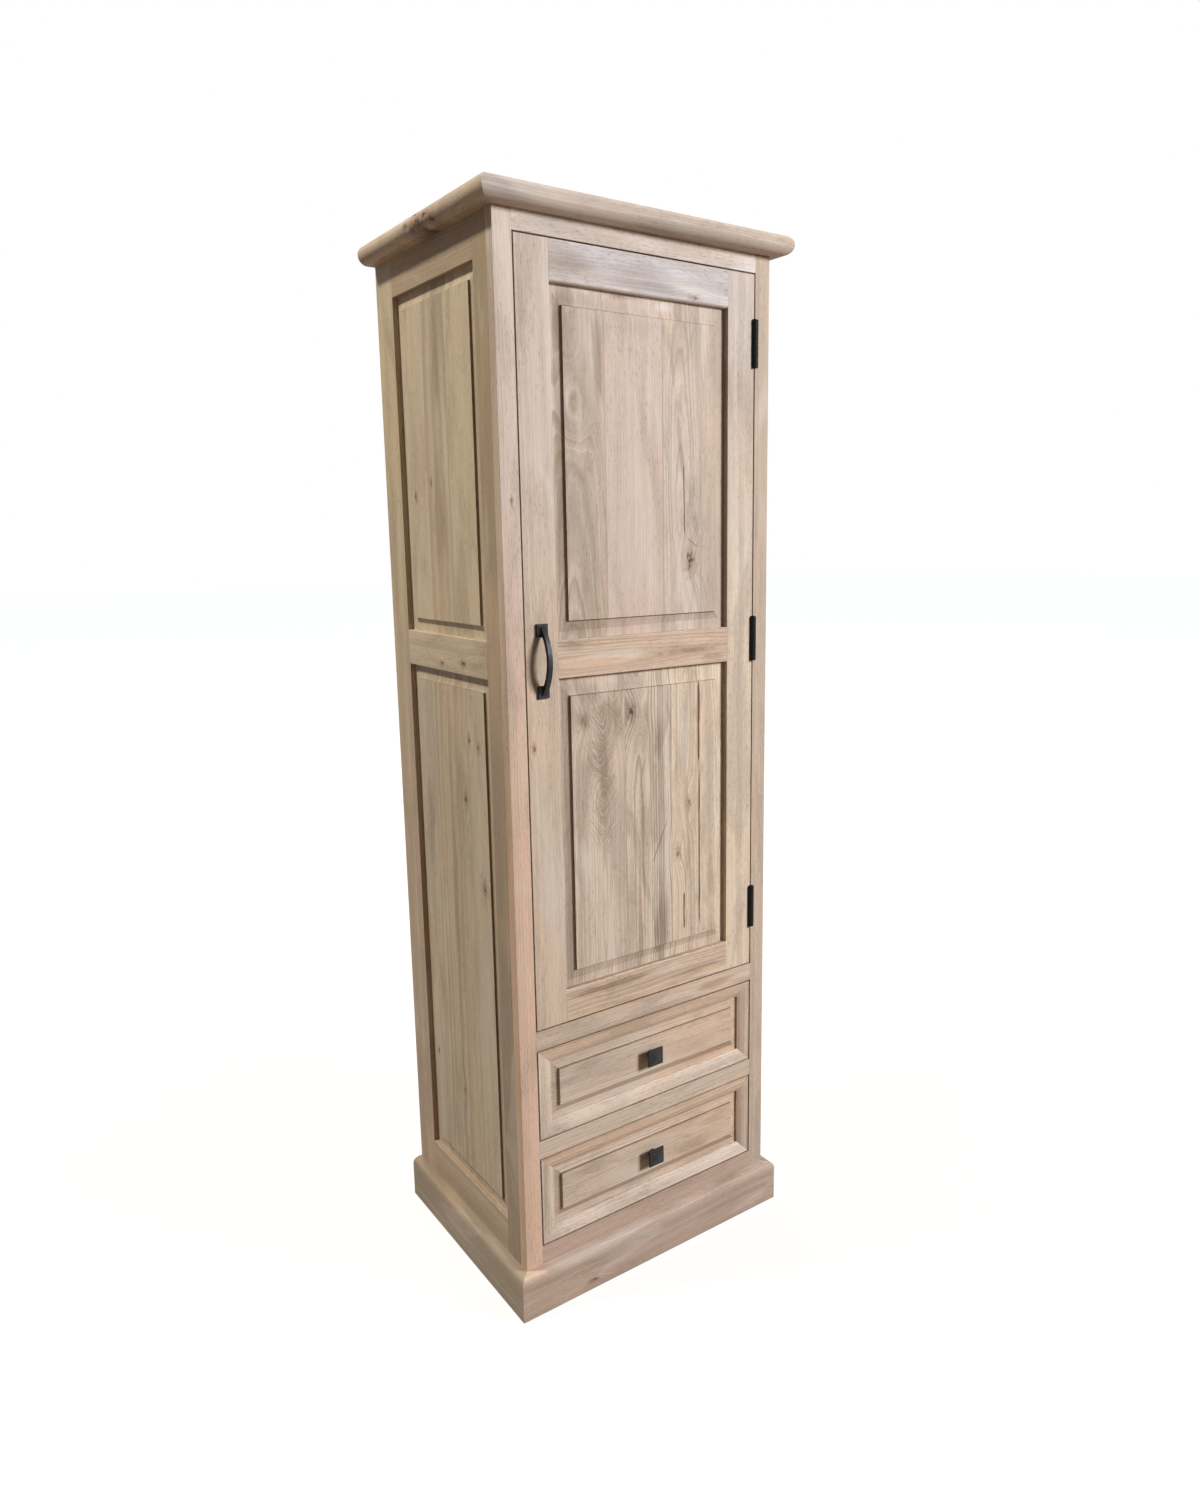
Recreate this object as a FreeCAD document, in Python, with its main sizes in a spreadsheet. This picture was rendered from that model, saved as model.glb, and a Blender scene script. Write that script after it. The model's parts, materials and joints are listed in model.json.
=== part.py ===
import FreeCAD, Part
import math
import os
import re
import Sketcher
from FreeCAD import Placement, Rotation, Vector

# Tall cabinet with one door over two drawers.
# X runs to the right, Y runs to the back and Z runs up from the floor. The origin is on the
# floor, under the middle of the whole object. All sizes are in millimetres.

# Driving sizes
SIZES = {
    # Case
    "carcass_width": 564,
    "carcass_depth": 446,
    "total_height": 1900,
    "top_board_thickness": 20,
    "cornice_height": 35,
    "cornice_overhang": 32,
    "plinth_height": 86,
    "plinth_projection": 20,
    # Face frame
    "face_frame_thickness": 20,
    "face_stile_width": 34,
    "top_rail_show": 32,
    "bottom_rail_show": 31,
    "drawer_opening_height": 171.5,
    "drawer_rail_height": 34,
    "middle_rail_height": 36,
    "rail_lap": 25,
    "face_tenon_length": 14,
    "face_tenon_thickness": 7,
    # Frames that hold raised panels
    "frame_thickness": 22,
    "panel_recess": 10.2,
    "groove_width": 6,
    "groove_depth": 10,
    "tongue_clearance": 0.3,
    "tongue_end_clearance": 1,
    "field_recess": 3.1,
    "field_step": 4,
    "bevel_width": 24.5,
    "centre_rail_bottom": 1142.5,
    "centre_rail_height": 64,
    # Side frames
    "side_front_stile_width": 45,
    "side_rear_stile_width": 70,
    "side_top_rail_show": 65,
    "side_bottom_rail_show": 64,
    # Inside of the case
    "back_panel_thickness": 9,
    "back_panel_foot_gap": 40,
    "back_rebate_width": 12,
    "back_panel_clearance": 0.5,
    "board_thickness": 18,
    "shelf_end_clearance": 1,
    "shelf_front_setback": 10,
    "shelf_rear_gap": 5,
    "shelf_pin_radius": 2.5,
    "shelf_pin_depth": 12,
    "shelf_pin_reach": 14,
    "guide_height": 25,
    "guide_clearance": 0.5,
    # Door
    "door_gap": 2,
    "door_stile_width": 62,
    "door_top_rail_height": 64,
    "door_bottom_rail_height": 59,
    "door_bevel_end": 31,
    # Hinges
    "hinge_length": 82,
    "hinge_end_distance": 118.5,
    "hinge_proud": 1,
    "knuckle_radius": 5.25,
    "knuckle_gap": 0.3,
    "knuckle_recess_clearance": 0.5,
    "leaf_thickness": 2,
    "leaf_width": 18,
    "leaf_face_gap": 0.4,
    "hinge_pin_radius": 2,
    "hinge_pin_head_radius": 3.4,
    "hinge_pin_head_height": 1.2,
    "running_clearance": 0.05,
    "hinge_screw_pitch": 27,
    "hinge_screw_setback": 12,
    "hinge_screw_radius": 1.7,
    "hinge_screw_head_radius": 3.4,
    "hinge_screw_head_height": 1.6,
    "hinge_screw_length": 15,
    # Door pull
    "handle_length": 123,
    "handle_foot_size": 21,
    "handle_foot_thickness": 4,
    "handle_projection": 27.5,
    "bow_width": 8,
    "bow_thickness": 7,
    "bow_root_height": 12,
    "bow_root_inset": 3.5,
    "handle_screw_radius": 2,
    "handle_screw_head_radius": 4,
    "handle_screw_head_height": 2.5,
    "handle_hole_depth": 7,
    "handle_screw_end_gap": 0.5,
    # Door catch
    "catch_drop": 31,
    "catch_width": 28,
    "catch_depth": 30,
    "catch_thickness": 16,
    "catch_gap": 0.3,
    "strike_inset": 2,
    "strike_width": 14,
    "strike_height": 24,
    "strike_thickness": 1.2,
    # Drawers
    "drawer_gap": 2,
    "moulding_width": 27,
    "moulding_flat": 8.5,
    "moulding_drop": 6,
    "drawer_bevel_side": 18,
    "drawer_bevel_end": 22,
    "drawer_field_rise": 3.5,
    "drawer_side_thickness": 12,
    "drawer_side_height": 140,
    "drawer_bottom_thickness": 6,
    "drawer_bottom_rise": 10,
    "drawer_bottom_groove": 6,
    "drawer_run_clearance": 0.3,
    "drawer_stop_gap": 0.5,
    # Drawer knobs
    "knob_size": 33.5,
    "knob_projection": 14,
    "knob_rim_thickness": 3,
    "knob_point_height": 4,
    "knob_point_size": 3,
    "knob_neck_radius": 5.5,
    "knob_flange_radius": 8,
    "knob_flange_thickness": 2,
    "knob_stud_radius": 2,
    "knob_stud_length": 9,
    # Overrun of every cut past the face it opens
    "overrun": 5,
}

# Places that follow from the driving sizes
PLACES = {
    "front": "(cornice_overhang - carcass_depth) / 2",
    "back": "front + carcass_depth",
    "left": "-carcass_width / 2",
    "right": "carcass_width / 2",
    "case_top": "total_height - top_board_thickness",
    "cornice_bottom": "total_height - cornice_height",
    "face_frame_back": "front + face_frame_thickness",
    "left_inner": "left + frame_thickness",
    "right_inner": "right - frame_thickness",
    "opening_left": "left + face_stile_width",
    "opening_right": "right - face_stile_width",
    "lower_floor": "plinth_height + bottom_rail_show",
    "lower_ceiling": "lower_floor + drawer_opening_height",
    "upper_floor": "lower_ceiling + drawer_rail_height",
    "upper_ceiling": "upper_floor + drawer_opening_height",
    "door_opening_bottom": "upper_ceiling + middle_rail_height",
    "door_opening_top": "cornice_bottom - top_rail_show",
    "back_panel_front": "back - back_panel_thickness",
    # Side frames
    "side_opening_front": "face_frame_back + side_front_stile_width",
    "side_opening_back": "back - side_rear_stile_width",
    "side_top_rail_bottom": "cornice_bottom - side_top_rail_show",
    "side_bottom_rail_top": "plinth_height + side_bottom_rail_show",
    "bottom_rail_foot": "plinth_height - rail_lap",
    "centre_rail_top": "centre_rail_bottom + centre_rail_height",
    # Tongues and stub tenons in the grooves
    "tongue_thickness": "groove_width - tongue_clearance",
    "tongue_back": "panel_recess + tongue_thickness",
    "tongue_reach": "groove_depth - tongue_end_clearance",
    # Door
    "door_left": "opening_left + door_gap",
    "door_right": "opening_right - door_gap",
    "door_bottom": "door_opening_bottom + door_gap",
    "door_top": "door_opening_top - door_gap",
    "door_back": "front + frame_thickness",
    "door_panel_left": "door_left + door_stile_width",
    "door_panel_right": "door_right - door_stile_width",
    "door_top_rail_bottom": "door_top - door_top_rail_height",
    "door_bottom_rail_top": "door_bottom + door_bottom_rail_height",
    "door_middle": "(door_bottom + door_top) / 2",
    # Hinges
    "hinge_x": "opening_right - door_gap / 2",
    "hinge_y": "front - hinge_proud",
    "case_leaf_front": "hinge_x + leaf_face_gap / 2",
    "case_leaf_back": "case_leaf_front + leaf_thickness",
    "door_leaf_front": "hinge_x - leaf_face_gap / 2",
    "door_leaf_back": "door_leaf_front - leaf_thickness",
    "leaf_rear": "hinge_y + leaf_width",
    "hinge_screw_y": "hinge_y + hinge_screw_setback",
    "knuckle_recess_radius": "knuckle_radius + knuckle_recess_clearance",
    "hinge_pin_hole_radius": "hinge_pin_radius + running_clearance",
    "hinge_screw_hole_radius": "hinge_screw_radius + running_clearance",
    "hinge_screw_sink_radius": "hinge_screw_head_radius + running_clearance",
    # Door pull
    "handle_x": "door_left + door_stile_width / 2",
    "handle_z": "centre_rail_bottom + centre_rail_height / 2",
    "handle_screw_offset": "(handle_length - handle_foot_size) / 2",
    "handle_foot_front": "front - handle_foot_thickness",
    "catch_z": "door_top - catch_drop",
    "bow_outer_half": "handle_length / 2 - bow_root_inset",
    "bow_inner_half": "bow_outer_half - bow_root_height",
    "bow_outer_rise": "handle_projection - handle_foot_thickness",
    "bow_inner_rise": "bow_outer_rise - bow_thickness",
    "bow_outer_radius": "(bow_outer_half ^ 2 + bow_outer_rise ^ 2) / (2 * bow_outer_rise)",
    "bow_inner_radius": "(bow_inner_half ^ 2 + bow_inner_rise ^ 2) / (2 * bow_inner_rise)",
    # Drawers
    "drawer_left": "opening_left + drawer_gap",
    "drawer_right": "opening_right - drawer_gap",
    "drawer_rear": "back_panel_front - drawer_stop_gap",
    "moulding_curve_width": "moulding_width - moulding_flat",
    "moulding_radius":
        "(moulding_curve_width ^ 2 + moulding_drop ^ 2) / (2 * moulding_drop)",
}

SHELF_COUNT = 3
HINGE_SIDES = (1, 0, -1)
KNUCKLE_COUNT = 5

document = FreeCAD.newDocument("TallCabinet")
sheet = document.addObject("Spreadsheet::Sheet", "Sizes")
for row, (alias, size) in enumerate(SIZES.items(), start=1):
    sheet.set(f"A{row}", alias)
    sheet.set(f"B{row}", str(size))
    sheet.setAlias(f"B{row}", alias)
document.recompute()

subparts = []
pockets = []


# Expressions
def bind(text):
    """Spells out an expression: places become sums, and sizes become cells of the sheet."""

    def spell(match):
        word = match.group(0)
        if word in PLACES:
            return f"({bind(PLACES[word])})"
        if word in SIZES:
            return f"Sizes.{word}"
        return word

    return re.sub(r"[A-Za-z_][A-Za-z0-9_]*", spell, text)


def value(text):
    """The number that an expression gives now."""
    return float(sheet.evalExpression(bind(text)))


def keep(thing, name):
    """Marks an object as a sub-part and gives it the label that names its file."""
    thing.Label = name
    subparts.append(thing)
    return thing


# Blocks, rods and their sums
def block(name, across, along, up):
    """A box between pairs of places on X, Y and Z."""
    box = document.addObject("Part::Box", name)
    for size, axis, (start, end) in zip(
        ("Length", "Width", "Height"), "xyz", (across, along, up)
    ):
        box.setExpression(size, bind(f"({end}) - ({start})"))
        box.setExpression(f"Placement.Base.{axis}", bind(start))
    return box


TURNS = {
    "x": Rotation(Vector(0, 1, 0), 90),
    "-x": Rotation(Vector(0, 1, 0), -90),
    "y": Rotation(Vector(1, 0, 0), -90),
    "-y": Rotation(Vector(1, 0, 0), 90),
    "z": Rotation(),
}


def stand(thing, way, base):
    """Turns a round primitive to run along an axis, and puts its foot at a place."""
    thing.Placement = Placement(Vector(), TURNS[way])
    for axis, place in zip("xyz", base):
        thing.setExpression(f"Placement.Base.{axis}", bind(place))


def rod(name, way, base, radius, length):
    """A cylinder that runs along an axis from its base point."""
    cylinder = document.addObject("Part::Cylinder", name)
    cylinder.setExpression("Radius", bind(radius))
    cylinder.setExpression("Height", bind(length))
    stand(cylinder, way, base)
    return cylinder


def taper(name, way, base, radius, end_radius, length):
    """A cone that runs along an axis from its base point."""
    cone = document.addObject("Part::Cone", name)
    cone.setExpression("Radius1", bind(radius))
    cone.setExpression("Radius2", bind(end_radius))
    cone.setExpression("Height", bind(length))
    stand(cone, way, base)
    return cone


def group(name, pieces):
    """Several separate solids side by side."""
    compound = document.addObject("Part::Compound", name)
    compound.Links = list(pieces)
    return compound


def joined(name, pieces):
    """Several overlapping solids as one."""
    fusion = document.addObject("Part::MultiFuse", name)
    fusion.Shapes = list(pieces)
    return fusion


def cut(name, base, tools):
    """A solid with other solids taken out of it."""
    result = document.addObject("Part::Cut", name)
    result.Base = base
    result.Tool = group(f"{name}_tools", tools)
    return result


# Bodies drawn on the three main planes: plan (x, y), elevation (x, z) and profile (y, z)
PLANES = {"plan": ("XY_Plane", 1), "elevation": ("XZ_Plane", -1), "profile": ("YZ_Plane", 1)}


def new_body(name):
    """An empty body."""
    return document.addObject("PartDesign::Body", name)


def new_sketch(body, plane, at):
    """A sketch on one of the body's own planes, moved along the plane's axis."""
    role, sense = PLANES[plane]
    support = next(item for item in body.Origin.OriginFeatures if item.Role == role)
    sketch = body.newObject("Sketcher::SketchObject", f"{body.Name}_sketch")
    sketch.AttachmentSupport = [(support, "")]
    sketch.MapMode = "FlatFace"
    sketch.setExpression("AttachmentOffset.Base.z", bind(f"{sense} * ({at})"))
    return sketch


def pin(sketch, axis, geometry, point, place):
    """Fixes one coordinate of a point of the sketch."""
    kind = {"u": "DistanceX", "v": "DistanceY"}[axis]
    constraint = Sketcher.Constraint(kind, -1, 1, geometry, point, value(place))
    index = sketch.addConstraint(constraint)
    name = f"{axis}{geometry}_{point}"
    sketch.renameConstraint(index, name)
    sketch.setExpression(f"Constraints.{name}", bind(place))


def arc_between(start, end, centre):
    """The shorter arc between two points, and whether it runs from the first to the second."""
    first = math.atan2(start.y - centre.y, start.x - centre.x)
    second = math.atan2(end.y - centre.y, end.x - centre.x)
    forward = (second - first) % math.tau < math.pi
    circle = Part.Circle(centre, Vector(0, 0, 1), centre.distanceToPoint(start))
    if forward:
        return Part.ArcOfCircle(circle, first, second), True
    return Part.ArcOfCircle(circle, second, first), False


def draw(sketch, outline):
    """A closed outline. A corner is (u, v), or (u, v, centre) where an arc leads to it."""
    first = sketch.GeometryCount
    count = len(outline)
    corners = [Vector(value(corner[0]), value(corner[1]), 0) for corner in outline]
    heads = []
    tails = []
    for index, corner in enumerate(outline):
        start = corners[index - 1]
        end = corners[index]
        if len(corner) == 3:
            centre = Vector(value(corner[2][0]), value(corner[2][1]), 0)
            edge, forward = arc_between(start, end, centre)
        else:
            edge, forward = Part.LineSegment(start, end), True
        sketch.addGeometry(edge)
        tails.append(1 if forward else 2)
        heads.append(2 if forward else 1)
    for index in range(count):
        after = (index + 1) % count
        sketch.addConstraint(Sketcher.Constraint(
            "Coincident", first + index, heads[index], first + after, tails[after]))
    for index, corner in enumerate(outline):
        pin(sketch, "u", first + index, heads[index], corner[0])
        pin(sketch, "v", first + index, heads[index], corner[1])
        if len(corner) == 3:
            chord = corners[index] - corners[index - 1]
            if abs(chord.x) > abs(chord.y):
                pin(sketch, "v", first + index, 3, corner[2][1])
            else:
                pin(sketch, "u", first + index, 3, corner[2][0])


def draw_circle(sketch, u, v, radius):
    """A circle about a point."""
    index = sketch.addGeometry(
        Part.Circle(Vector(value(u), value(v), 0), Vector(0, 0, 1), value(radius)))
    pin(sketch, "u", index, 3, u)
    pin(sketch, "v", index, 3, v)
    constraint = sketch.addConstraint(Sketcher.Constraint("Radius", index, value(radius)))
    sketch.renameConstraint(constraint, f"radius{index}")
    sketch.setExpression(f"Constraints.radius{index}", bind(radius))


def add(body, plane, start, end, *outlines):
    """Adds the material inside outlines, between two places on the plane's axis."""
    sketch = new_sketch(body, plane, start)
    for outline in outlines:
        draw(sketch, outline)
    return raise_sketch(body, plane, sketch, start, end)


def raise_sketch(body, plane, sketch, start, end):
    """Pads a sketch that lies at its start place up to its end place."""
    pad = body.newObject("PartDesign::Pad", f"{body.Name}_pad")
    pad.Profile = sketch
    pad.Reversed = plane == "elevation"
    pad.setExpression("Length", bind(f"({end}) - ({start})"))
    return pad


def add_disc(body, plane, start, end, u, v, radius):
    """Adds a disc between two places on the plane's axis."""
    sketch = new_sketch(body, plane, start)
    draw_circle(sketch, u, v, radius)
    return raise_sketch(body, plane, sketch, start, end)


def sink_sketch(body, sketch, start, end):
    """Pockets a sketch from one place on the plane's axis to the other."""
    pocket = body.newObject("PartDesign::Pocket", f"{body.Name}_pocket")
    pocket.Profile = sketch
    pocket.setExpression("Length", bind(f"({end}) - ({start})"))
    pockets.append(pocket)
    return pocket


def take(body, plane, start, end, *outlines):
    """Takes out the material inside outlines, between two places on the plane's axis."""
    sketch = new_sketch(body, plane, start if plane == "elevation" else end)
    for outline in outlines:
        draw(sketch, outline)
    return sink_sketch(body, sketch, start, end)


def drill(body, plane, start, end, radius, centres):
    """Drills round holes between two places on the plane's axis."""
    sketch = new_sketch(body, plane, start if plane == "elevation" else end)
    for u, v in centres:
        draw_circle(sketch, u, v, radius)
    return sink_sketch(body, sketch, start, end)


def rectangle(u, v):
    """A rectangle between pairs of places."""
    return [(u[0], v[0]), (u[1], v[0]), (u[1], v[1]), (u[0], v[1])]


# Frames face one of three ways. On each, a depth is measured into the case from the face.
FACINGS = {
    "front": ("front", 1),
    "left": ("left", 1),
    "right": ("right", -1),
}


def at_depth(facing, depth):
    """The place on the facing's own axis that lies at a depth behind its face."""
    face, sense = FACINGS[facing]
    return f"{face} + {sense} * ({depth})"


def plan_point(facing, across, depth, *centre):
    """A corner of a plan, from a place along the face and a depth behind it."""
    if facing == "front":
        return (across, at_depth(facing, depth), *centre)
    return (at_depth(facing, depth), across, *centre)


def upright_point(facing, height, depth, *centre):
    """A corner of a cross-section that stands upright, from a height and a depth."""
    return (at_depth(facing, depth), height, *centre)


def upright_plane(facing):
    """The plane on which the cross-section of a rail of this facing is drawn."""
    return "profile" if facing == "front" else "elevation"


def grooved_section(point, facing, start, end, start_groove, end_groove):
    """A frame member's section, with a groove for the panels in one or both edges."""
    groove_back = "panel_recess + groove_width"
    outline = [point(facing, start, "0"), point(facing, end, "0")]
    if end_groove:
        floor = f"{end} - groove_depth"
        outline += [
            point(facing, end, "panel_recess"), point(facing, floor, "panel_recess"),
            point(facing, floor, groove_back), point(facing, end, groove_back),
        ]
    outline += [
        point(facing, end, "frame_thickness"), point(facing, start, "frame_thickness"),
    ]
    if start_groove:
        floor = f"{start} + groove_depth"
        outline += [
            point(facing, start, groove_back), point(facing, floor, groove_back),
            point(facing, floor, "panel_recess"), point(facing, start, "panel_recess"),
        ]
    return outline


def frame_stile(name, facing, across, height, start_groove, end_groove):
    """An upright frame member."""
    body = new_body(name)
    add(body, "plan", *height, grooved_section(
        plan_point, facing, *across, start_groove, end_groove))
    return body


def frame_rail(name, facing, between, height, start_groove, end_groove):
    """A level frame member, with a stub tenon at each end that fills the stiles' grooves."""
    body = new_body(name)
    plane = upright_plane(facing)
    section = grooved_section(upright_point, facing, *height, start_groove, end_groove)
    add(body, plane, *between, section)
    bottom = f"{height[0]} + groove_depth" if start_groove else height[0]
    top = f"{height[1]} - groove_depth" if end_groove else height[1]
    tenon = [
        upright_point(facing, bottom, "panel_recess"),
        upright_point(facing, bottom, "tongue_back"),
        upright_point(facing, top, "tongue_back"),
        upright_point(facing, top, "panel_recess"),
    ]
    add(body, plane, f"{between[0]} - tongue_reach", f"{between[1]} + tongue_reach", tenon)
    return body


def bevel_outline(point, facing, sense, opening, width):
    """What is cut away outside a panel's field: a step, a hollow slope and a tongue's face.

    The opening is the place of the frame's edge, and sense is the way from it to the field.
    """
    field = f"{opening} + {sense} * ({width})"
    rim = f"{opening} - {sense} * (groove_depth + overrun)"
    rise = "(panel_recess - field_recess - field_step)"
    radius = f"((({width}) ^ 2 + {rise} ^ 2) / (2 * {rise}))"
    centre = point(facing, opening, f"panel_recess - {radius}")
    return [
        point(facing, field, "-overrun"),
        point(facing, field, "field_recess + field_step"),
        point(facing, opening, "panel_recess", centre),
        point(facing, rim, "panel_recess"),
        point(facing, rim, "-overrun"),
    ]


def raised_panel(name, facing, across, height, side_bevel, bottom_bevel, top_bevel):
    """A raised and fielded panel whose tongues lie in the grooves round an opening."""
    body = new_body(name)
    start = f"{across[0]} - tongue_reach"
    end = f"{across[1]} + tongue_reach"
    foot = f"{height[0]} - tongue_reach"
    head = f"{height[1]} + tongue_reach"
    slab = [
        plan_point(facing, start, "field_recess"), plan_point(facing, end, "field_recess"),
        plan_point(facing, end, "tongue_back"), plan_point(facing, start, "tongue_back"),
    ]
    add(body, "plan", foot, head, slab)
    take(
        body, "plan", f"{foot} - overrun", f"{head} + overrun",
        bevel_outline(plan_point, facing, "1", across[0], side_bevel),
        bevel_outline(plan_point, facing, "-1", across[1], side_bevel),
    )
    take(
        body, upright_plane(facing), f"{start} - overrun", f"{end} + overrun",
        bevel_outline(upright_point, facing, "1", height[0], bottom_bevel),
        bevel_outline(upright_point, facing, "-1", height[1], top_bevel),
    )
    return body


def mitre(body, plane, corner, inward, width, span, runs):
    """Cuts one end of a member on the diagonal from an outer corner.

    Inward gives the signs of the way to the inner corner, and runs says along which of the
    plane's two axes the member runs.
    """
    (u, v), (u_sign, v_sign) = corner, inward
    near_u = f"{u} - {u_sign} * overrun"
    near_v = f"{v} - {v_sign} * overrun"
    far_u = f"{u} + {u_sign} * ({width} + overrun)"
    far_v = f"{v} + {v_sign} * ({width} + overrun)"
    waste = (near_u, far_v) if runs == "u" else (far_u, near_v)
    take(body, plane, *span, [(near_u, near_v), (far_u, far_v), waste])


# Face frame
def face_tenon(name, height):
    """The bar that runs through a face rail and forms its two tenons."""
    middle = "front + face_frame_thickness / 2"
    return block(
        name,
        ("opening_left - face_tenon_length", "opening_right + face_tenon_length"),
        (f"{middle} - face_tenon_thickness / 2", f"{middle} + face_tenon_thickness / 2"),
        height,
    )


FACE_RAILS = {
    "face_top_rail": ("door_opening_top", "case_top"),
    "face_middle_rail": ("upper_ceiling", "door_opening_bottom"),
    "face_drawer_rail": ("lower_ceiling", "upper_floor"),
    "face_bottom_rail": ("bottom_rail_foot", "lower_floor"),
}


def face_rail(name, height):
    """A level member of the face frame, tenoned into both stiles."""
    rail = block(
        f"{name}_board", ("opening_left", "opening_right"), ("front", "face_frame_back"), height)
    return keep(joined(name, [rail, face_tenon(f"{name}_tenons", height)]), name)


def face_mortises(name):
    """The cuts that take all the face rails' tenons."""
    return [face_tenon(f"{name}_{rail}_mortise", height) for rail, height in FACE_RAILS.items()]


def hinge_centre(side):
    """The height of a hinge's middle: 1 is the upper hinge, 0 the middle one, -1 the lower."""
    return f"door_middle + {side} * ((door_top - door_bottom) / 2 - hinge_end_distance)"


def screw_heights(side):
    """The heights of the three screws in a hinge leaf."""
    return [f"{hinge_centre(side)} + {step} * hinge_screw_pitch" for step in (-1, 0, 1)]


def hinge_cuts(name, way, leaf):
    """What one stile loses for the hinges: leaf beds, knuckle hollows and screw holes."""
    cuts = []
    for number, side in enumerate(HINGE_SIDES, start=1):
        centre = hinge_centre(side)
        foot = f"{centre} - hinge_length / 2"
        head = f"{centre} + hinge_length / 2"
        cuts.append(block(
            f"{name}_leaf_bed_{number}", leaf, ("hinge_y", "leaf_rear"), (foot, head)))
        cuts.append(rod(
            f"{name}_knuckle_hollow_{number}", "z",
            ("hinge_x", "hinge_y", f"{foot} - knuckle_recess_clearance"),
            "knuckle_recess_radius",
            "hinge_length + hinge_pin_head_height + 2 * knuckle_recess_clearance"))
        for step, height in enumerate(screw_heights(side), start=1):
            cuts.append(rod(
                f"{name}_screw_hole_{number}_{step}", way,
                ("hinge_x", "hinge_screw_y", height),
                "hinge_screw_hole_radius", "hinge_screw_length + leaf_face_gap"))
    return [joined(f"{name}_hinge_cuts", cuts)]


def face_frame():
    """The glued front frame that the door and drawers sit in."""
    depth = ("front", "face_frame_back")
    height = ("0", "case_top")
    left_board = block("face_left_board", ("left", "opening_left"), depth, height)
    keep(cut("face_left_stile", left_board, face_mortises("face_left")), "face_left_stile")
    right_board = block("face_right_board", ("opening_right", "right"), depth, height)
    mortised = cut("face_right_mortised", right_board, face_mortises("face_right"))
    beds = hinge_cuts("face_right", "x", ("hinge_x", "case_leaf_back"))
    keep(cut("face_right_stile", mortised, beds), "face_right_stile")
    for name, rail_height in FACE_RAILS.items():
        face_rail(name, rail_height)


# Side frames
SHELF_STEP = f"((case_top - door_opening_bottom - {SHELF_COUNT} * board_thickness)"
SHELF_STEP += f" / {SHELF_COUNT + 1})"
FRONT_PIN_Y = "face_frame_back + side_front_stile_width / 2"
REAR_PIN_Y = "back - side_rear_stile_width / 2"


def shelf_bottom(number):
    """The height of the underside of a shelf, counted from the lowest."""
    return f"door_opening_bottom + {number} * {SHELF_STEP} + ({number} - 1) * board_thickness"


def pin_heights():
    """The heights of the shelf pins' middles."""
    return [f"{shelf_bottom(number)} - shelf_pin_radius" for number in range(1, SHELF_COUNT + 1)]


def drill_pin_holes(stile, facing, y):
    """Blind holes for the shelf pins in the inner face of a side stile."""
    if facing == "left":
        span = ("left_inner - shelf_pin_depth", "left_inner")
    else:
        span = ("right_inner", "right_inner + shelf_pin_depth")
    drill(
        stile, "profile", *span, "shelf_pin_radius + running_clearance",
        [(y, height) for height in pin_heights()])


def side_frame(facing):
    """One side of the case: two stiles, three rails and two raised panels."""
    height = ("0", "case_top")
    front_stile = frame_stile(
        f"{facing}_front_stile", facing, ("face_frame_back", "side_opening_front"),
        height, False, True)
    drill_pin_holes(front_stile, facing, FRONT_PIN_Y)
    keep(front_stile, f"{facing}_front_stile")

    rear_stile = new_body(f"{facing}_rear_stile")
    groove_back = "panel_recess + groove_width"
    groove_floor = "side_opening_back + groove_depth"
    rebate = "frame_thickness - back_rebate_width"
    section = [
        ("side_opening_back", "0"), ("back", "0"), ("back", rebate),
        ("back_panel_front", rebate), ("back_panel_front", "frame_thickness"),
        ("side_opening_back", "frame_thickness"), ("side_opening_back", groove_back),
        (groove_floor, groove_back), (groove_floor, "panel_recess"),
        ("side_opening_back", "panel_recess"),
    ]
    add(rear_stile, "plan", *height, [plan_point(facing, *corner) for corner in section])
    drill_pin_holes(rear_stile, facing, REAR_PIN_Y)
    keep(rear_stile, f"{facing}_rear_stile")

    between = ("side_opening_front", "side_opening_back")
    rails = [
        frame_rail(
            f"{facing}_top_rail", facing, between, ("side_top_rail_bottom", "case_top"),
            True, False),
        frame_rail(
            f"{facing}_centre_rail", facing, between, ("centre_rail_bottom", "centre_rail_top"),
            True, True),
        frame_rail(
            f"{facing}_bottom_rail", facing, between, ("bottom_rail_foot", "side_bottom_rail_top"),
            False, True),
    ]
    keep(group(f"{facing}_side_rails", rails), f"{facing}_side_rails")

    openings = {
        f"{facing}_lower_panel": ("side_bottom_rail_top", "centre_rail_bottom"),
        f"{facing}_upper_panel": ("centre_rail_top", "side_top_rail_bottom"),
    }
    for name, opening in openings.items():
        panel = raised_panel(
            name, facing, between, opening, "bevel_width", "bevel_width", "bevel_width")
        keep(panel, name)


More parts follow.
